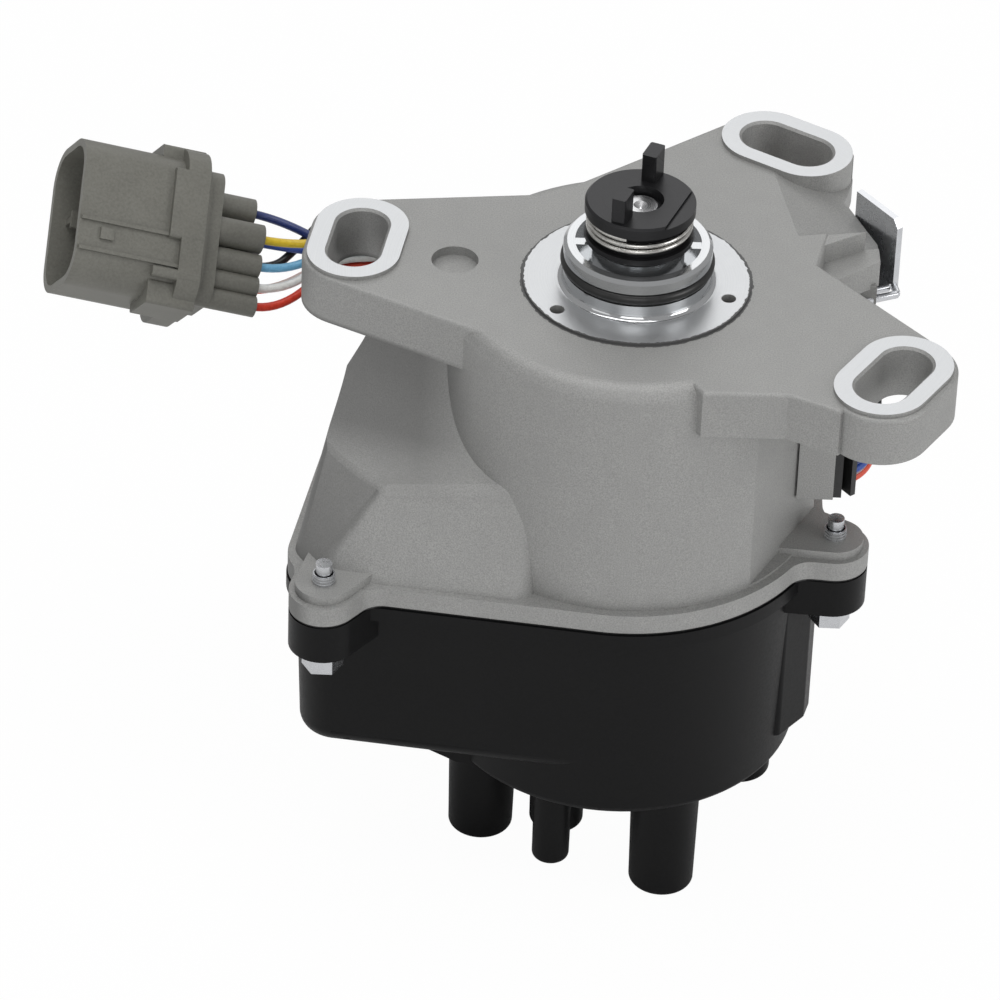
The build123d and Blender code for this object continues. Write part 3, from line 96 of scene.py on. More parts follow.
# %% Route of each wire, in millimetres
LOOM_ROUTES = {
    "yellow": [
        (49.89, -9.29, -39.75), (52.82, -7.01, -39.75), (54.85, -1, -36.75), (55.05, 10.81, -32.35),
        (47.52, 32.31, -29.55), (23.52, 51.91, -28.05), (-9.94, 56.83, -26.55), (-39.6, 49.41, -23.35),
        (-58.05, 40.44, -20.35), (-70.61, 35.92, -18.35), (-81.64, 34.96, -18.87), (-88.14, 33.64, -16.63)],
    "light_blue": [
        (49.89, -9.29, -42.05), (52.82, -7.01, -42.05), (54.85, -1, -39.05), (55.05, 10.81, -34.65),
        (47.52, 32.31, -31.85), (23.52, 51.91, -30.35), (-9.94, 56.83, -28.85), (-39.6, 49.41, -25.65),
        (-58.05, 40.44, -22.65), (-70.61, 35.92, -20.65), (-82.02, 29.75, -23.06), (-88.52, 28.42, -20.82)],
    "white": [
        (49.89, -9.29, -44.35), (52.82, -7.01, -44.35), (54.85, -1, -41.35), (55.05, 10.81, -36.95),
        (47.52, 32.31, -34.15), (23.52, 51.91, -32.65), (-9.94, 56.83, -31.15), (-39.6, 49.41, -27.95),
        (-58.05, 40.44, -24.95), (-70.61, 35.92, -22.95), (-82.32, 25.78, -26.25), (-88.81, 24.45, -24.01)],
    "red": [
        (49.89, -9.29, -46.65), (52.82, -7.01, -46.65), (54.85, -1, -43.65), (55.05, 10.81, -39.25),
        (47.52, 32.31, -36.45), (23.52, 51.91, -34.95), (-9.94, 56.83, -33.45), (-39.6, 49.41, -30.25),
        (-58.05, 40.44, -27.25), (-70.61, 35.92, -25.25), (-82.58, 22.2, -29.13), (-89.08, 20.87, -26.88)],
    "dark_blue": [
        (51.31, -11.11, -42.05), (54.78, -8.39, -42.05), (57.15, -1.4, -39.05), (57.35, 11.19, -34.65),
        (49.48, 33.69, -31.85), (24.48, 54.09, -30.35), (-10.06, 59.17, -28.85), (-40.4, 51.59, -25.65),
        (-58.95, 42.56, -22.65), (-71.39, 38.08, -20.65), (-84.31, 46.81, -19.62), (-90.81, 45.48, -17.37)],
    "blue": [
        (51.31, -11.11, -44.35), (54.78, -8.39, -44.35), (57.15, -1.4, -41.35), (57.35, 11.19, -36.95),
        (49.48, 33.69, -34.15), (24.48, 54.09, -32.65), (-10.06, 59.17, -31.15), (-40.4, 51.59, -27.95),
        (-58.95, 42.56, -24.95), (-71.39, 38.08, -22.95), (-84.7, 41.51, -23.87), (-91.2, 40.19, -21.62)],
    "black": [
        (51.31, -11.11, -39.75), (54.78, -8.39, -39.75), (57.15, -1.4, -36.75), (57.35, 11.19, -32.35),
        (49.48, 33.69, -29.55), (24.48, 54.09, -28.05), (-10.06, 59.17, -26.55), (-40.4, 51.59, -23.35),
        (-58.95, 42.56, -20.35), (-72, 46.5, -17), (-79.5, 42.5, -25.5), (-85.04, 36.84, -27.62),
        (-91.54, 35.52, -25.38)],
    "red_white": [
        (51.31, -11.11, -46.65), (54.78, -8.39, -46.65), (57.15, -1.4, -43.65), (57.35, 11.19, -39.25),
        (49.48, 33.69, -36.45), (24.48, 54.09, -34.95), (-10.06, 59.17, -33.45), (-40.4, 51.59, -30.25),
        (-58.95, 42.56, -27.25), (-71.39, 38.08, -25.25), (-85.38, 32.33, -31.24), (-91.87, 31, -29)],
}
WIRE_DIAMETER = 2.0 * MM

# %% Wires as splines
wires = {}
for colour, route in LOOM_ROUTES.items():
    curve = bpy.data.curves.new("loom_wire_" + colour, "CURVE")
    curve.dimensions = "3D"
    spline = curve.splines.new("NURBS")
    spline.points.add(len(route) - 1)
    for point, place in zip(spline.points, route):
        point.co = (*(Vector(place) * MM), 1.0)
    spline.order_u = 3
    spline.use_endpoint_u = True
    spline.resolution_u = 8
    curve.bevel_depth = WIRE_DIAMETER / 2
    curve.bevel_resolution = 4
    curve.use_fill_caps = True
    wire = bpy.data.objects.new("loom_wire_" + colour, curve)
    bpy.context.scene.collection.objects.link(wire)
    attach(wire, "body")
    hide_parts("wire_" + colour)
    wires[colour] = wire
print("wires:", ", ".join(wires))

# %% [markdown]
# ## The studio
# The part stands on its lead towers on a white table. A wide soft lamp stands behind it, where the
# level machined faces mirror it, one hangs above, one stands in front and two smaller ones at the
# sides, and the pale world fills the rest.

# %% Floor, lamps and world
scene = bpy.context.scene
scene.view_settings.view_transform = "Standard"
FLOOR_Z = solid_box[0][2]
TABLE_REACH = 6.0
TABLE_GLOW = 0.97
WORLD_FILL = 0.42

floor_shape = bmesh.new()
bmesh.ops.create_grid(floor_shape, x_segments=1, y_segments=1, size=TABLE_REACH)
bmesh.ops.translate(floor_shape, verts=floor_shape.verts, vec=(0, 0, FLOOR_Z))
floor_mesh = bpy.data.meshes.new("studio_table")
floor_shape.to_mesh(floor_mesh)
floor_shape.free()
floor = bpy.data.objects.new("studio_table", floor_mesh)
scene.collection.objects.link(floor)

table = bpy.data.materials.new("white_table")
table.use_nodes = True
nodes, links = table.node_tree.nodes, table.node_tree.links
nodes.clear()
output = nodes.new("ShaderNodeOutputMaterial")
paint = nodes.new("ShaderNodeBsdfDiffuse")
paint.inputs["Color"].default_value = (0.88, 0.88, 0.88, 1)
glow = nodes.new("ShaderNodeEmission")
glow.inputs["Color"].default_value = (1, 1, 1, 1)
seen = nodes.new("ShaderNodeLightPath")
most = nodes.new("ShaderNodeMath")
most.operation = "MULTIPLY"
most.inputs[1].default_value = TABLE_GLOW
mix = nodes.new("ShaderNodeMixShader")
links.new(seen.outputs["Is Camera Ray"], most.inputs[0])
links.new(most.outputs[0], mix.inputs[0])
links.new(paint.outputs[0], mix.inputs[1])
links.new(glow.outputs[0], mix.inputs[2])
links.new(mix.outputs[0], output.inputs["Surface"])
floor_mesh.materials.append(table)

world = bpy.data.worlds.new("studio_world")
scene.world = world
world.use_nodes = True
nodes, links = world.node_tree.nodes, world.node_tree.links
nodes.clear()
output = nodes.new("ShaderNodeOutputWorld")
seen = nodes.new("ShaderNodeLightPath")
fill = nodes.new("ShaderNodeBackground")
fill.inputs["Color"].default_value = (1, 1, 1, 1)
fill.inputs["Strength"].default_value = WORLD_FILL
backdrop = nodes.new("ShaderNodeBackground")
backdrop.inputs["Color"].default_value = (1, 1, 1, 1)
backdrop.inputs["Strength"].default_value = 1.0
mix = nodes.new("ShaderNodeMixShader")
links.new(seen.outputs["Is Camera Ray"], mix.inputs[0])
links.new(fill.outputs[0], mix.inputs[1])
links.new(backdrop.outputs[0], mix.inputs[2])
links.new(mix.outputs[0], output.inputs["Surface"])


def lamp(name, place, aim, size, power):
    """A square soft lamp at place, turned towards aim."""
    data = bpy.data.lights.new(name, "AREA")
    data.shape = "SQUARE"
    data.size = size
    data.energy = power
    made = bpy.data.objects.new(name, data)
    scene.collection.objects.link(made)
    made.location = place
    made.rotation_euler = (Vector(aim) - Vector(place)).to_track_quat("-Z", "Y").to_euler()
    return made


lamp("top_lamp", (-0.10, 0.00, 1.20), (0, 0, -0.05), 0.80, 6.6)
lamp("back_lamp", (0.0, 1.40, 1.05), (0, 0, -0.03), 1.10, 4.6)
lamp("front_lamp", (-0.10, -1.20, 0.55), (0, 0, -0.06), 0.70, 3.2)
lamp("left_lamp", (-0.95, -0.75, 0.45), (0, 0, -0.06), 0.60, 0.8)
lamp("right_lamp", (1.00, -0.45, 0.35), (0, 0, -0.06), 0.50, 3.4)
print("table at", round(FLOOR_Z, 4))

# %% [markdown]
# ## Shared surface effects
# Cast, moulded and turned surfaces share a few effects, so each is built once as a node group.
# The grain group mixes two sizes of noise, which is what a casting or a textured mould shows.
# The lathe group draws fine rings round the shaft's axis, which turned steel and faces show.


# %% Helpers for shader nodes
def link_value(tree, source, target):
    """Sets a socket to a number, or links it to another socket."""
    if isinstance(source, bpy.types.NodeSocket):
        tree.links.new(source, target)
    else:
        target.default_value = source


def calc(tree, operation, first, second=0.0, third=None):
    node = tree.nodes.new("ShaderNodeMath")
    node.operation = operation
    link_value(tree, first, node.inputs[0])
    link_value(tree, second, node.inputs[1])
    if third is not None:
        link_value(tree, third, node.inputs[2])
    return node.outputs[0]


def between(tree, value, low, high, low_out=0.0, high_out=1.0):
    """Maps a value from one range to another, held at both ends."""
    node = tree.nodes.new("ShaderNodeMapRange")
    node.clamp = True
    link_value(tree, value, node.inputs["Value"])
    for name, number in (("From Min", low), ("From Max", high), ("To Min", low_out), ("To Max", high_out)):
        link_value(tree, number, node.inputs[name])
    return node.outputs["Result"]


def blend_colour(tree, share, first, second):
    node = tree.nodes.new("ShaderNodeMix")
    node.data_type = "RGBA"
    link_value(tree, share, node.inputs[0])
    link_value(tree, first, node.inputs[6])
    link_value(tree, second, node.inputs[7])
    return node.outputs[2]


def noise(tree, place, scale, detail=2.0, roughness=0.5):
    node = tree.nodes.new("ShaderNodeTexNoise")
    tree.links.new(place, node.inputs["Vector"])
    link_value(tree, scale, node.inputs["Scale"])
    node.inputs["Detail"].default_value = detail
    node.inputs["Roughness"].default_value = roughness
    return node.outputs["Fac"]


def start_group(title, numbers):
    """A shader group that takes Place and the named numbers."""
    tree = bpy.data.node_groups.new(title, "ShaderNodeTree")
    tree.interface.new_socket("Place", in_out="INPUT", socket_type="NodeSocketVector")
    for name, value in numbers.items():
        socket = tree.interface.new_socket(name, in_out="INPUT", socket_type="NodeSocketFloat")
        socket.default_value = value
    return tree, tree.nodes.new("NodeGroupInput").outputs


def end_group(tree, results):
    out = tree.nodes.new("NodeGroupOutput")
    for name, socket in results.items():
        tree.interface.new_socket(name, in_out="OUTPUT", socket_type="NodeSocketFloat")
        tree.links.new(socket, out.inputs[name])
    return tree


# %% Grain of castings and mouldings
FINE_SHARE = 0.7

grain_tree, put = start_group("surface_grain", {"Size": 900.0, "Blotch": 90.0})
fine = noise(grain_tree, put["Place"], put["Size"], detail=3.0, roughness=0.65)
blotch = noise(grain_tree, put["Place"], put["Blotch"], detail=3.0)
both = calc(grain_tree, "ADD", calc(grain_tree, "MULTIPLY", fine, FINE_SHARE),
            calc(grain_tree, "MULTIPLY", blotch, 1.0 - FINE_SHARE))
GRAIN = end_group(grain_tree, {"Fine": fine, "Blotch": blotch, "Shade": both})

# %% Rings left by a lathe
lathe_tree, put = start_group("lathe_rings", {"Pitch": 6000.0})
flat = lathe_tree.nodes.new("ShaderNodeVectorMath")
flat.operation = "MULTIPLY"
lathe_tree.links.new(put["Place"], flat.inputs[0])
flat.inputs[1].default_value = (1, 1, 0)
span = lathe_tree.nodes.new("ShaderNodeVectorMath")
span.operation = "LENGTH"
lathe_tree.links.new(flat.outputs[0], span.inputs[0])
split = lathe_tree.nodes.new("ShaderNodeSeparateXYZ")
lathe_tree.links.new(put["Place"], split.inputs[0])
reach = calc(lathe_tree, "ADD", span.outputs["Value"], split.outputs["Z"])
join = lathe_tree.nodes.new("ShaderNodeCombineXYZ")
lathe_tree.links.new(calc(lathe_tree, "MULTIPLY", reach, put["Pitch"]), join.inputs[0])
groove = noise(lathe_tree, join.outputs[0], 1.0, detail=2.0)
LATHE = end_group(lathe_tree, {"Groove": groove, "Radius": span.outputs["Value"]})
print("groups:", GRAIN.name, LATHE.name)


# %% One finish
def start_finish(name):
    """A material with an empty Principled shader; returns it, its tree, shader and place socket."""
    finish = bpy.data.materials.new(name)
    finish.use_nodes = True
    tree = finish.node_tree
    tree.nodes.clear()
    output = tree.nodes.new("ShaderNodeOutputMaterial")
    shader = tree.nodes.new("ShaderNodeBsdfPrincipled")
    tree.links.new(shader.outputs[0], output.inputs["Surface"])
    place = tree.nodes.new("ShaderNodeTexCoord").outputs["Object"]
    return finish, tree, shader, place


def use_group(tree, group, place, **numbers):
    node = tree.nodes.new("ShaderNodeGroup")
    node.node_tree = group
    tree.links.new(place, node.inputs["Place"])
    for name, value in numbers.items():
        node.inputs[name].default_value = value
    return node.outputs


def add_bump(tree, shader, height, strength, depth):
    bump = tree.nodes.new("ShaderNodeBump")
    bump.inputs["Strength"].default_value = strength
    bump.inputs["Distance"].default_value = depth
    tree.links.new(height, bump.inputs["Height"])
    tree.links.new(bump.outputs[0], shader.inputs["Normal"])


def grained(name, dark, light, rough_low, rough_high, metallic=0.0, size=900.0, blotch=90.0,
            strength=0.3, depth=0.00015, coat=0.0, specular=0.5):
    """A finish whose colour, roughness and relief follow the grain group."""
    finish, tree, shader, place = start_finish(name)
    grain = use_group(tree, GRAIN, place, Size=size, Blotch=blotch)
    shade = between(tree, grain["Shade"], 0.35, 0.65)
    tree.links.new(blend_colour(tree, shade, (*dark, 1), (*light, 1)), shader.inputs["Base Color"])
    tree.links.new(between(tree, grain["Fine"], 0.3, 0.7, rough_low, rough_high), shader.inputs["Roughness"])
    shader.inputs["Metallic"].default_value = metallic
    shader.inputs["Coat Weight"].default_value = coat
    shader.inputs["Specular IOR Level"].default_value = specular
    add_bump(tree, shader, grain["Fine"], strength, depth)
    return finish


def turned(name, dark, light, rough_low, rough_high, pitch=6000.0, strength=0.15, metallic=1.0):
    """Metal turned on a lathe: rings round the shaft's axis."""
    finish, tree, shader, place = start_finish(name)
    rings = use_group(tree, LATHE, place, Pitch=pitch)
    tree.links.new(blend_colour(tree, rings["Groove"], (*dark, 1), (*light, 1)), shader.inputs["Base Color"])
    rough = between(tree, rings["Groove"], 0.3, 0.7, rough_low, rough_high)
    tree.links.new(rough, shader.inputs["Roughness"])
    shader.inputs["Metallic"].default_value = metallic
    add_bump(tree, shader, rings["Groove"], strength, 0.00003)
    return finish


# %% [markdown]
# ## The cast body
# The body is blasted die-cast aluminium: a pale grey skin with a fine sandy grain. The faces that
# meet the engine were milled after casting, and the pilot was turned and polished. One material
# holds all three, and the height and the distance from the shaft's axis say which is where.

# %% Cast aluminium with machined faces
EAR_FACE_DEPTH = 0.2 * MM
EARS_BEGIN_R = 40.0 * MM
SPOT_FACE_Z = -0.4 * MM
SPOT_FACE_DEPTH = 0.1 * MM
SPOT_FACE_R = 26.1 * MM
SPOT_RIM_IN = 0.4 * MM
SPOT_RIM_OUT = 0.5 * MM
SPOT_RIM_FOOT_Z = -1.3 * MM
RAGGED_EDGE = 1.1 * MM
PILOT_FOOT_R = 18.5 * MM
PILOT_CLEAR_Z = 0.05 * MM
SKIN_DARK = (0.26, 0.26, 0.255, 1)
SKIN_LIGHT = (0.42, 0.42, 0.41, 1)
SKIN_BLOTCH = (0.30, 0.30, 0.295, 1)
# painted shade: this darker skin colour is laid on the hollow and on the left-facing side below the arm
PAINTED_SHADE_COLOUR = (0.115, 0.115, 0.112, 1)
PAINTED_SHADE_SHARE = 0.62
# each pair says where the painted shade starts and where it is full
SHADE_BELOW_ARM_Z = (-11.8 * MM, -12.8 * MM)
SHADE_HOLLOW_X = (-36.0 * MM, -48.0 * MM)
SHADE_HOLLOW_Z = (-43.0 * MM, -34.0 * MM)
SHADE_OUTER_SIDE_X = (-50.0 * MM, -56.0 * MM)
SHADE_OUTER_SIDE_LEAN = (-0.35, -0.75)

cast, tree, shader, place = start_finish("blasted_cast_aluminium")
grain = use_group(tree, GRAIN, place, Size=3000.0, Blotch=160.0)
rings = use_group(tree, LATHE, place, Pitch=5000.0)
parts = tree.nodes.new("ShaderNodeSeparateXYZ")
tree.links.new(place, parts.inputs[0])
height = parts.outputs["Z"]
facing = tree.nodes.new("ShaderNodeNewGeometry")
lean = tree.nodes.new("ShaderNodeSeparateXYZ")
tree.links.new(facing.outputs["Normal"], lean.inputs[0])
upward = calc(tree, "GREATER_THAN", lean.outputs["Z"], 0.98)

ear_face = calc(tree, "MULTIPLY", upward,
                calc(tree, "LESS_THAN", calc(tree, "ABSOLUTE", height), EAR_FACE_DEPTH))
ear_face = calc(tree, "MULTIPLY", ear_face, calc(tree, "GREATER_THAN", rings["Radius"], EARS_BEGIN_R))
ragged = noise(tree, place, 700.0, detail=3.0)
edge = calc(tree, "MULTIPLY_ADD", calc(tree, "SUBTRACT", ragged, 0.5), RAGGED_EDGE, rings["Radius"])
spot_face = calc(tree, "MULTIPLY", calc(tree, "GREATER_THAN", height, SPOT_FACE_Z - SPOT_FACE_DEPTH),
                 calc(tree, "LESS_THAN", edge, SPOT_FACE_R - SPOT_RIM_IN))
spot_rim = calc(tree, "MULTIPLY", calc(tree, "GREATER_THAN", edge, SPOT_FACE_R - SPOT_RIM_IN),
                calc(tree, "LESS_THAN", edge, SPOT_FACE_R + SPOT_RIM_OUT))
spot_rim = calc(tree, "MULTIPLY", spot_rim, calc(tree, "GREATER_THAN", height, SPOT_RIM_FOOT_Z))
pilot = calc(tree, "MULTIPLY", calc(tree, "GREATER_THAN", height, SPOT_FACE_Z + PILOT_CLEAR_Z),
             calc(tree, "LESS_THAN", rings["Radius"], PILOT_FOOT_R))
machined = calc(tree, "MAXIMUM", ear_face, spot_face)

skin = blend_colour(tree, between(tree, grain["Fine"], 0.32, 0.68), SKIN_DARK, SKIN_LIGHT)
skin = blend_colour(tree, calc(tree, "MULTIPLY", between(tree, grain["Blotch"], 0.3, 0.75), 0.35), skin,
                    SKIN_BLOTCH)
# painted shade: the hollow of the coil pocket and the outer side that faces left are darkened below the arm,
# where shade falls
shade_below_arm = between(tree, height, *SHADE_BELOW_ARM_Z)
hollow_shade = calc(tree, "MULTIPLY", between(tree, parts.outputs["X"], *SHADE_HOLLOW_X),
              between(tree, height, *SHADE_HOLLOW_Z))
outer_side_shade = calc(tree, "MULTIPLY", between(tree, lean.outputs["X"], *SHADE_OUTER_SIDE_LEAN),
                  between(tree, parts.outputs["X"], *SHADE_OUTER_SIDE_X))
painted_shade = calc(tree, "MULTIPLY", calc(tree, "MAXIMUM", hollow_shade, outer_side_shade), shade_below_arm)
skin = blend_colour(tree, calc(tree, "MULTIPLY", painted_shade, PAINTED_SHADE_SHARE), skin, PAINTED_SHADE_COLOUR)
bright = blend_colour(tree, rings["Groove"], (0.46, 0.47, 0.48, 1), (0.62, 0.63, 0.64, 1))
colour = blend_colour(tree, machined, skin, bright)
colour = blend_colour(tree, spot_rim, colour, (0.11, 0.11, 0.11, 1))
tree.links.new(colour, shader.inputs["Base Color"])
rough = calc(tree, "SUBTRACT", between(tree, grain["Fine"], 0.3, 0.7, 0.50, 0.68),
             calc(tree, "MULTIPLY", machined, 0.22))
rough = calc(tree, "SUBTRACT", rough, calc(tree, "MULTIPLY", pilot, 0.40))
tree.links.new(calc(tree, "MAXIMUM", rough, 0.09), shader.inputs["Roughness"])
tree.links.new(calc(tree, "MAXIMUM", calc(tree, "MULTIPLY", machined, 0.90), 0.55), shader.inputs["Metallic"])
sand = calc(tree, "MULTIPLY", grain["Fine"], calc(tree, "SUBTRACT", 1.0, machined))
turning = calc(tree, "MULTIPLY", calc(tree, "MULTIPLY", rings["Groove"], spot_face), 0.12)
relief = calc(tree, "ADD", sand, turning)
add_bump(tree, shader, relief, 0.50, 0.00014)
print("cast finish:", cast.name)

# %% [markdown]
# ## All other finishes
# Steel screws are zinc plated, the coupling is blackened, the cap is a near-black satin moulding.
# They differ only in colour, gloss and grain, so one helper makes the grained ones and another
# the turned ones. Every solid then takes the finish that its material slot names.

# %% Finishes by material slot
FINISHES = {
    "cast_aluminium": cast,
    "turned_steel": turned("turned_steel", (0.48, 0.48, 0.49), (0.72, 0.72, 0.73), 0.20, 0.36),
    "dark_steel": turned("blackened_steel", (0.012, 0.012, 0.013), (0.035, 0.035, 0.037), 0.25, 0.42,
                         metallic=0.6),
    "spring_steel": grained("drawn_spring_wire", (0.50, 0.49, 0.47), (0.68, 0.67, 0.64), 0.18, 0.30,
                            metallic=1.0, size=500.0, strength=0.05),
    "zinc_plate": grained("zinc_plate", (0.54, 0.55, 0.57), (0.62, 0.63, 0.65), 0.24, 0.30, metallic=1.0,
                          size=300.0, strength=0.02),
    "sintered_iron": grained("sintered_iron", (0.16, 0.16, 0.165), (0.26, 0.26, 0.27), 0.45, 0.62,
                             metallic=0.9, size=1800.0),
    "cap_plastic": grained("cap_moulding", (0.0030, 0.0030, 0.0032), (0.0052, 0.0052, 0.0056), 0.34, 0.46,
                           size=1400.0, blotch=40.0, strength=0.10, depth=0.00006, specular=0.15),
    "rotor_plastic": grained("rotor_moulding", (0.012, 0.012, 0.013), (0.025, 0.025, 0.027), 0.35, 0.5,
                             strength=0.12),
    "coil_resin": grained("coil_resin", (0.012, 0.012, 0.013), (0.03, 0.03, 0.032), 0.25, 0.45, strength=0.2),
    "module_plastic": grained("module_moulding", (0.015, 0.015, 0.015), (0.03, 0.03, 0.03), 0.4, 0.55,
                              strength=0.15),
    "rubber_black": grained("black_rubber", (0.007, 0.007, 0.007), (0.015, 0.015, 0.015), 0.30, 0.44,
                            strength=0.10),
    "brass": grained("brass", (0.60, 0.42, 0.16), (0.80, 0.60, 0.28), 0.22, 0.36, metallic=1.0, size=500.0,
                     strength=0.05),
    "terminal_aluminium": grained("terminal_aluminium", (0.55, 0.55, 0.55), (0.75, 0.75, 0.75), 0.28, 0.42,
                                  metallic=1.0, strength=0.08),
    "carbon": grained("pressed_carbon", (0.012, 0.012, 0.012), (0.03, 0.03, 0.03), 0.5, 0.7, strength=0.2),
    "connector_plastic": grained("connector_moulding", (0.118, 0.116, 0.100), (0.160, 0.158, 0.138), 0.40,
                                 0.54, size=1600.0, blotch=120.0, strength=0.12, depth=0.00008),
    "tin_plate": grained("tin_plate", (0.50, 0.50, 0.48), (0.70, 0.70, 0.68), 0.25, 0.4, metallic=1.0,
                         strength=0.05),
    "seal_silicone": grained("seal_silicone", (0.30, 0.07, 0.02), (0.42, 0.12, 0.04), 0.45, 0.6,
                             strength=0.1),
}
WIRE_COLOURS = {
    "yellow": ((0.62, 0.42, 0.01), (0.75, 0.55, 0.03)),
    "light_blue": ((0.11, 0.32, 0.52), (0.18, 0.44, 0.66)),
    "white": ((0.62, 0.62, 0.60), (0.78, 0.78, 0.76)),
    "red": ((0.50, 0.03, 0.015), (0.66, 0.06, 0.03)),
    "dark_blue": ((0.010, 0.022, 0.11), (0.018, 0.036, 0.17)),
    "blue": ((0.012, 0.045, 0.26), (0.022, 0.075, 0.36)),
    "black": ((0.006, 0.006, 0.006), (0.014, 0.014, 0.014)),
}
for colour_name, (dark, light) in WIRE_COLOURS.items():
    FINISHES["wire_" + colour_name] = grained("insulation_" + colour_name, dark, light, 0.30, 0.42,
                                              size=1200.0, blotch=150.0, strength=0.06, depth=0.00005)

# the striped wire: red insulation with a pale line along its upper side
striped, tree, shader, place = start_finish("insulation_red_white")
grain = use_group(tree, GRAIN, place, Size=1200.0, Blotch=150.0)
facing = tree.nodes.new("ShaderNodeNewGeometry")
lean = tree.nodes.new("ShaderNodeSeparateXYZ")
tree.links.new(facing.outputs["Normal"], lean.inputs[0])
stripe = calc(tree, "GREATER_THAN", lean.outputs["Z"], 0.86)
red = blend_colour(tree, grain["Shade"], (0.58, 0.05, 0.02, 1), (0.74, 0.10, 0.05, 1))
tree.links.new(blend_colour(tree, stripe, red, (0.74, 0.62, 0.58, 1)), shader.inputs["Base Color"])
tree.links.new(between(tree, grain["Fine"], 0.3, 0.7, 0.30, 0.42), shader.inputs["Roughness"])
add_bump(tree, shader, grain["Fine"], 0.06, 0.00005)
FINISHES["wire_red_white"] = striped

slot_of = {part["node"]: part["material_slot"] for part in frame["record"]["subparts"]}
for name, solid in frame["nodes"].items():
    solid.data.materials.clear()
    solid.data.materials.append(FINISHES[slot_of[name]])
for colour_name, wire in wires.items():
    wire.data.materials.append(FINISHES["wire_" + colour_name])
print("finishes:", len(FINISHES))

# %% [markdown]
# ## Threads on the seam's screws
# The three screws that hold the cap come through their lugs, and their threads show. A thread this
# small reads as a stack of ridges, so one saw-toothed outline is spun round each screw's axis; a
# true spiral would look the same at this size.

# %% Thread ridges
CAP_SCREWS = [(-68.6, -39.9), (48.6, -15.3), (-14.0, 51.5)]
THREAD_LOW_Z = -59.9
THREAD_TURNS = 3
THREAD_PITCH = 0.8
THREAD_CREST_R = 2.62
THREAD_ROOT_R = 2.2
THREAD_FLANK = 0.32
THREAD_CREST_WIDTH = 0.12
WELD_DISTANCE = 0.001 * MM


def spun_piece(name, outlines, finish_name, segments=48):
    """Spins outlines round upright axes. Each has its axis place and (radius, height) points, in mm."""
    shape = bmesh.new()
    for (x, y), points in outlines:
        line = [shape.verts.new((x * MM + radius * MM, y * MM, height * MM)) for radius, height in points]
        edges = [shape.edges.new(pair) for pair in zip(line, line[1:])]
        bmesh.ops.spin(shape, geom=line + edges, cent=(x * MM, y * MM, 0), axis=(0, 0, 1), angle=math.tau,
                       steps=segments, use_merge=True)
    bmesh.ops.remove_doubles(shape, verts=shape.verts, dist=WELD_DISTANCE)
    bmesh.ops.recalc_face_normals(shape, faces=shape.faces)
    mesh = bpy.data.meshes.new(name)
    shape.to_mesh(mesh)
    shape.free()
    made = bpy.data.objects.new(name, mesh)
    scene.collection.objects.link(made)
    mesh.materials.append(FINISHES[finish_name])
    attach(made, "body")
    return made


ridges = [(0.0, THREAD_LOW_Z), (THREAD_ROOT_R, THREAD_LOW_Z)]
for turn_number in range(THREAD_TURNS):
    foot = THREAD_LOW_Z + turn_number * THREAD_PITCH
    crest = foot + THREAD_FLANK
    ridges += [(THREAD_CREST_R, crest), (THREAD_CREST_R, crest + THREAD_CREST_WIDTH),
               (THREAD_ROOT_R, foot + THREAD_PITCH)]
ridges.append((0.0, THREAD_LOW_Z + THREAD_TURNS * THREAD_PITCH))
spun_piece("screw_thread_ridges", [(at, ridges) for at in CAP_SCREWS], "zinc_plate")
print("threads:", len(CAP_SCREWS), "screws,", THREAD_TURNS, "ridges each")

# %% [markdown]
# ## Tongues of the loom bracket
# The foot of the sheet bracket ends in two tongues that are folded over to grip the loom's tape.
# They are strips of the same plated sheet, so each is a bar with rounded edges, turned to its run.

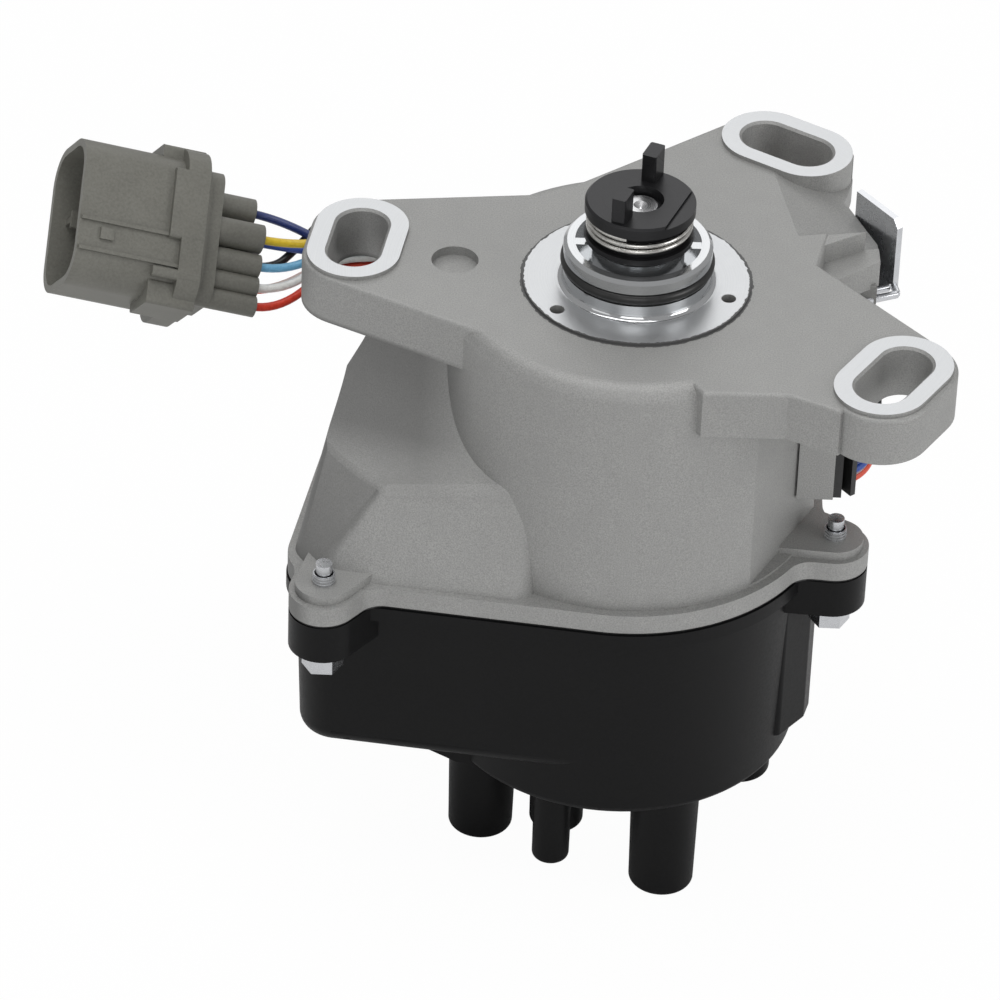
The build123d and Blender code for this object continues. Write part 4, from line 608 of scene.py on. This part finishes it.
# %% Bars turned to their run
def bars_piece(name, bars, finish_name, round_mm=0.3):
    """Bars from start to end with a width and a height, in mm, as one piece with rounded edges."""
    shape = bmesh.new()
    for start, end, width, height in bars:
        start, end = Vector(start) * MM, Vector(end) * MM
        run = end - start
        made = bmesh.ops.create_cube(shape, size=1.0)
        size = Matrix.Diagonal((run.length, width * MM, height * MM, 1.0))
        turn = run.to_track_quat("X", "Z").to_matrix().to_4x4()
        placed = Matrix.Translation((start + end) / 2) @ turn @ size
        bmesh.ops.transform(shape, matrix=placed, verts=made["verts"])
    bmesh.ops.bevel(shape, geom=list(shape.edges), offset=round_mm * MM, offset_type="OFFSET", segments=3,
                    profile=0.5, affect="EDGES", clamp_overlap=True, material=-1)
    bmesh.ops.recalc_face_normals(shape, faces=shape.faces)
    mesh = bpy.data.meshes.new(name)
    shape.to_mesh(mesh)
    shape.free()
    for face in mesh.polygons:
        face.use_smooth = True
    piece = bpy.data.objects.new(name, mesh)
    scene.collection.objects.link(piece)
    mesh.materials.append(FINISHES[finish_name])
    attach(piece, "body")
    return piece


BRACKET_TONGUES = [
    ((50.6, 19.2, -16.2), (59.2, 23.0, -16.2), 1.5, 1.6),
    ((52.4, 16.6, -16.2), (61.2, 20.4, -16.2), 1.5, 1.6),
    ((61.0, 20.2, -16.2), (60.2, 24.0, -16.2), 1.5, 1.6),
]
bars_piece("bracket_tongues", BRACKET_TONGUES, "zinc_plate", 0.4)
print("tongues:", len(BRACKET_TONGUES))

# %% [markdown]
# ## Softened edges
# No edge of a casting or a moulding is sharp: metal flows round the corners of its mould, and a
# deburring wheel takes the rest. A narrow bevel along every sharp edge shows this as a thin
# highlight, and as a modifier it leaves the solids as they are.

# %% Narrow bevels on the castings and mouldings
SOFT_EDGES = {"housing": 0.35, "distributor_cap": 0.30, "connector_housing": 0.30, "drive_coupling": 0.20,
              "harness_bracket": 0.20, "wire_grommet": 0.30, "cap_screws": 0.15}
SHARP_FROM = math.radians(32)
for name, width in SOFT_EDGES.items():
    solid = frame["nodes"][name]
    bevel = solid.modifiers.new("soft_edges", "BEVEL")
    bevel.width = width * MM
    bevel.segments = 2
    bevel.limit_method = "ANGLE"
    bevel.angle_limit = SHARP_FROM
    bevel.use_clamp_overlap = True
    bevel.harden_normals = False
print("softened:", ", ".join(SOFT_EDGES))

# %% Update the view layer
bpy.context.view_layer.update()
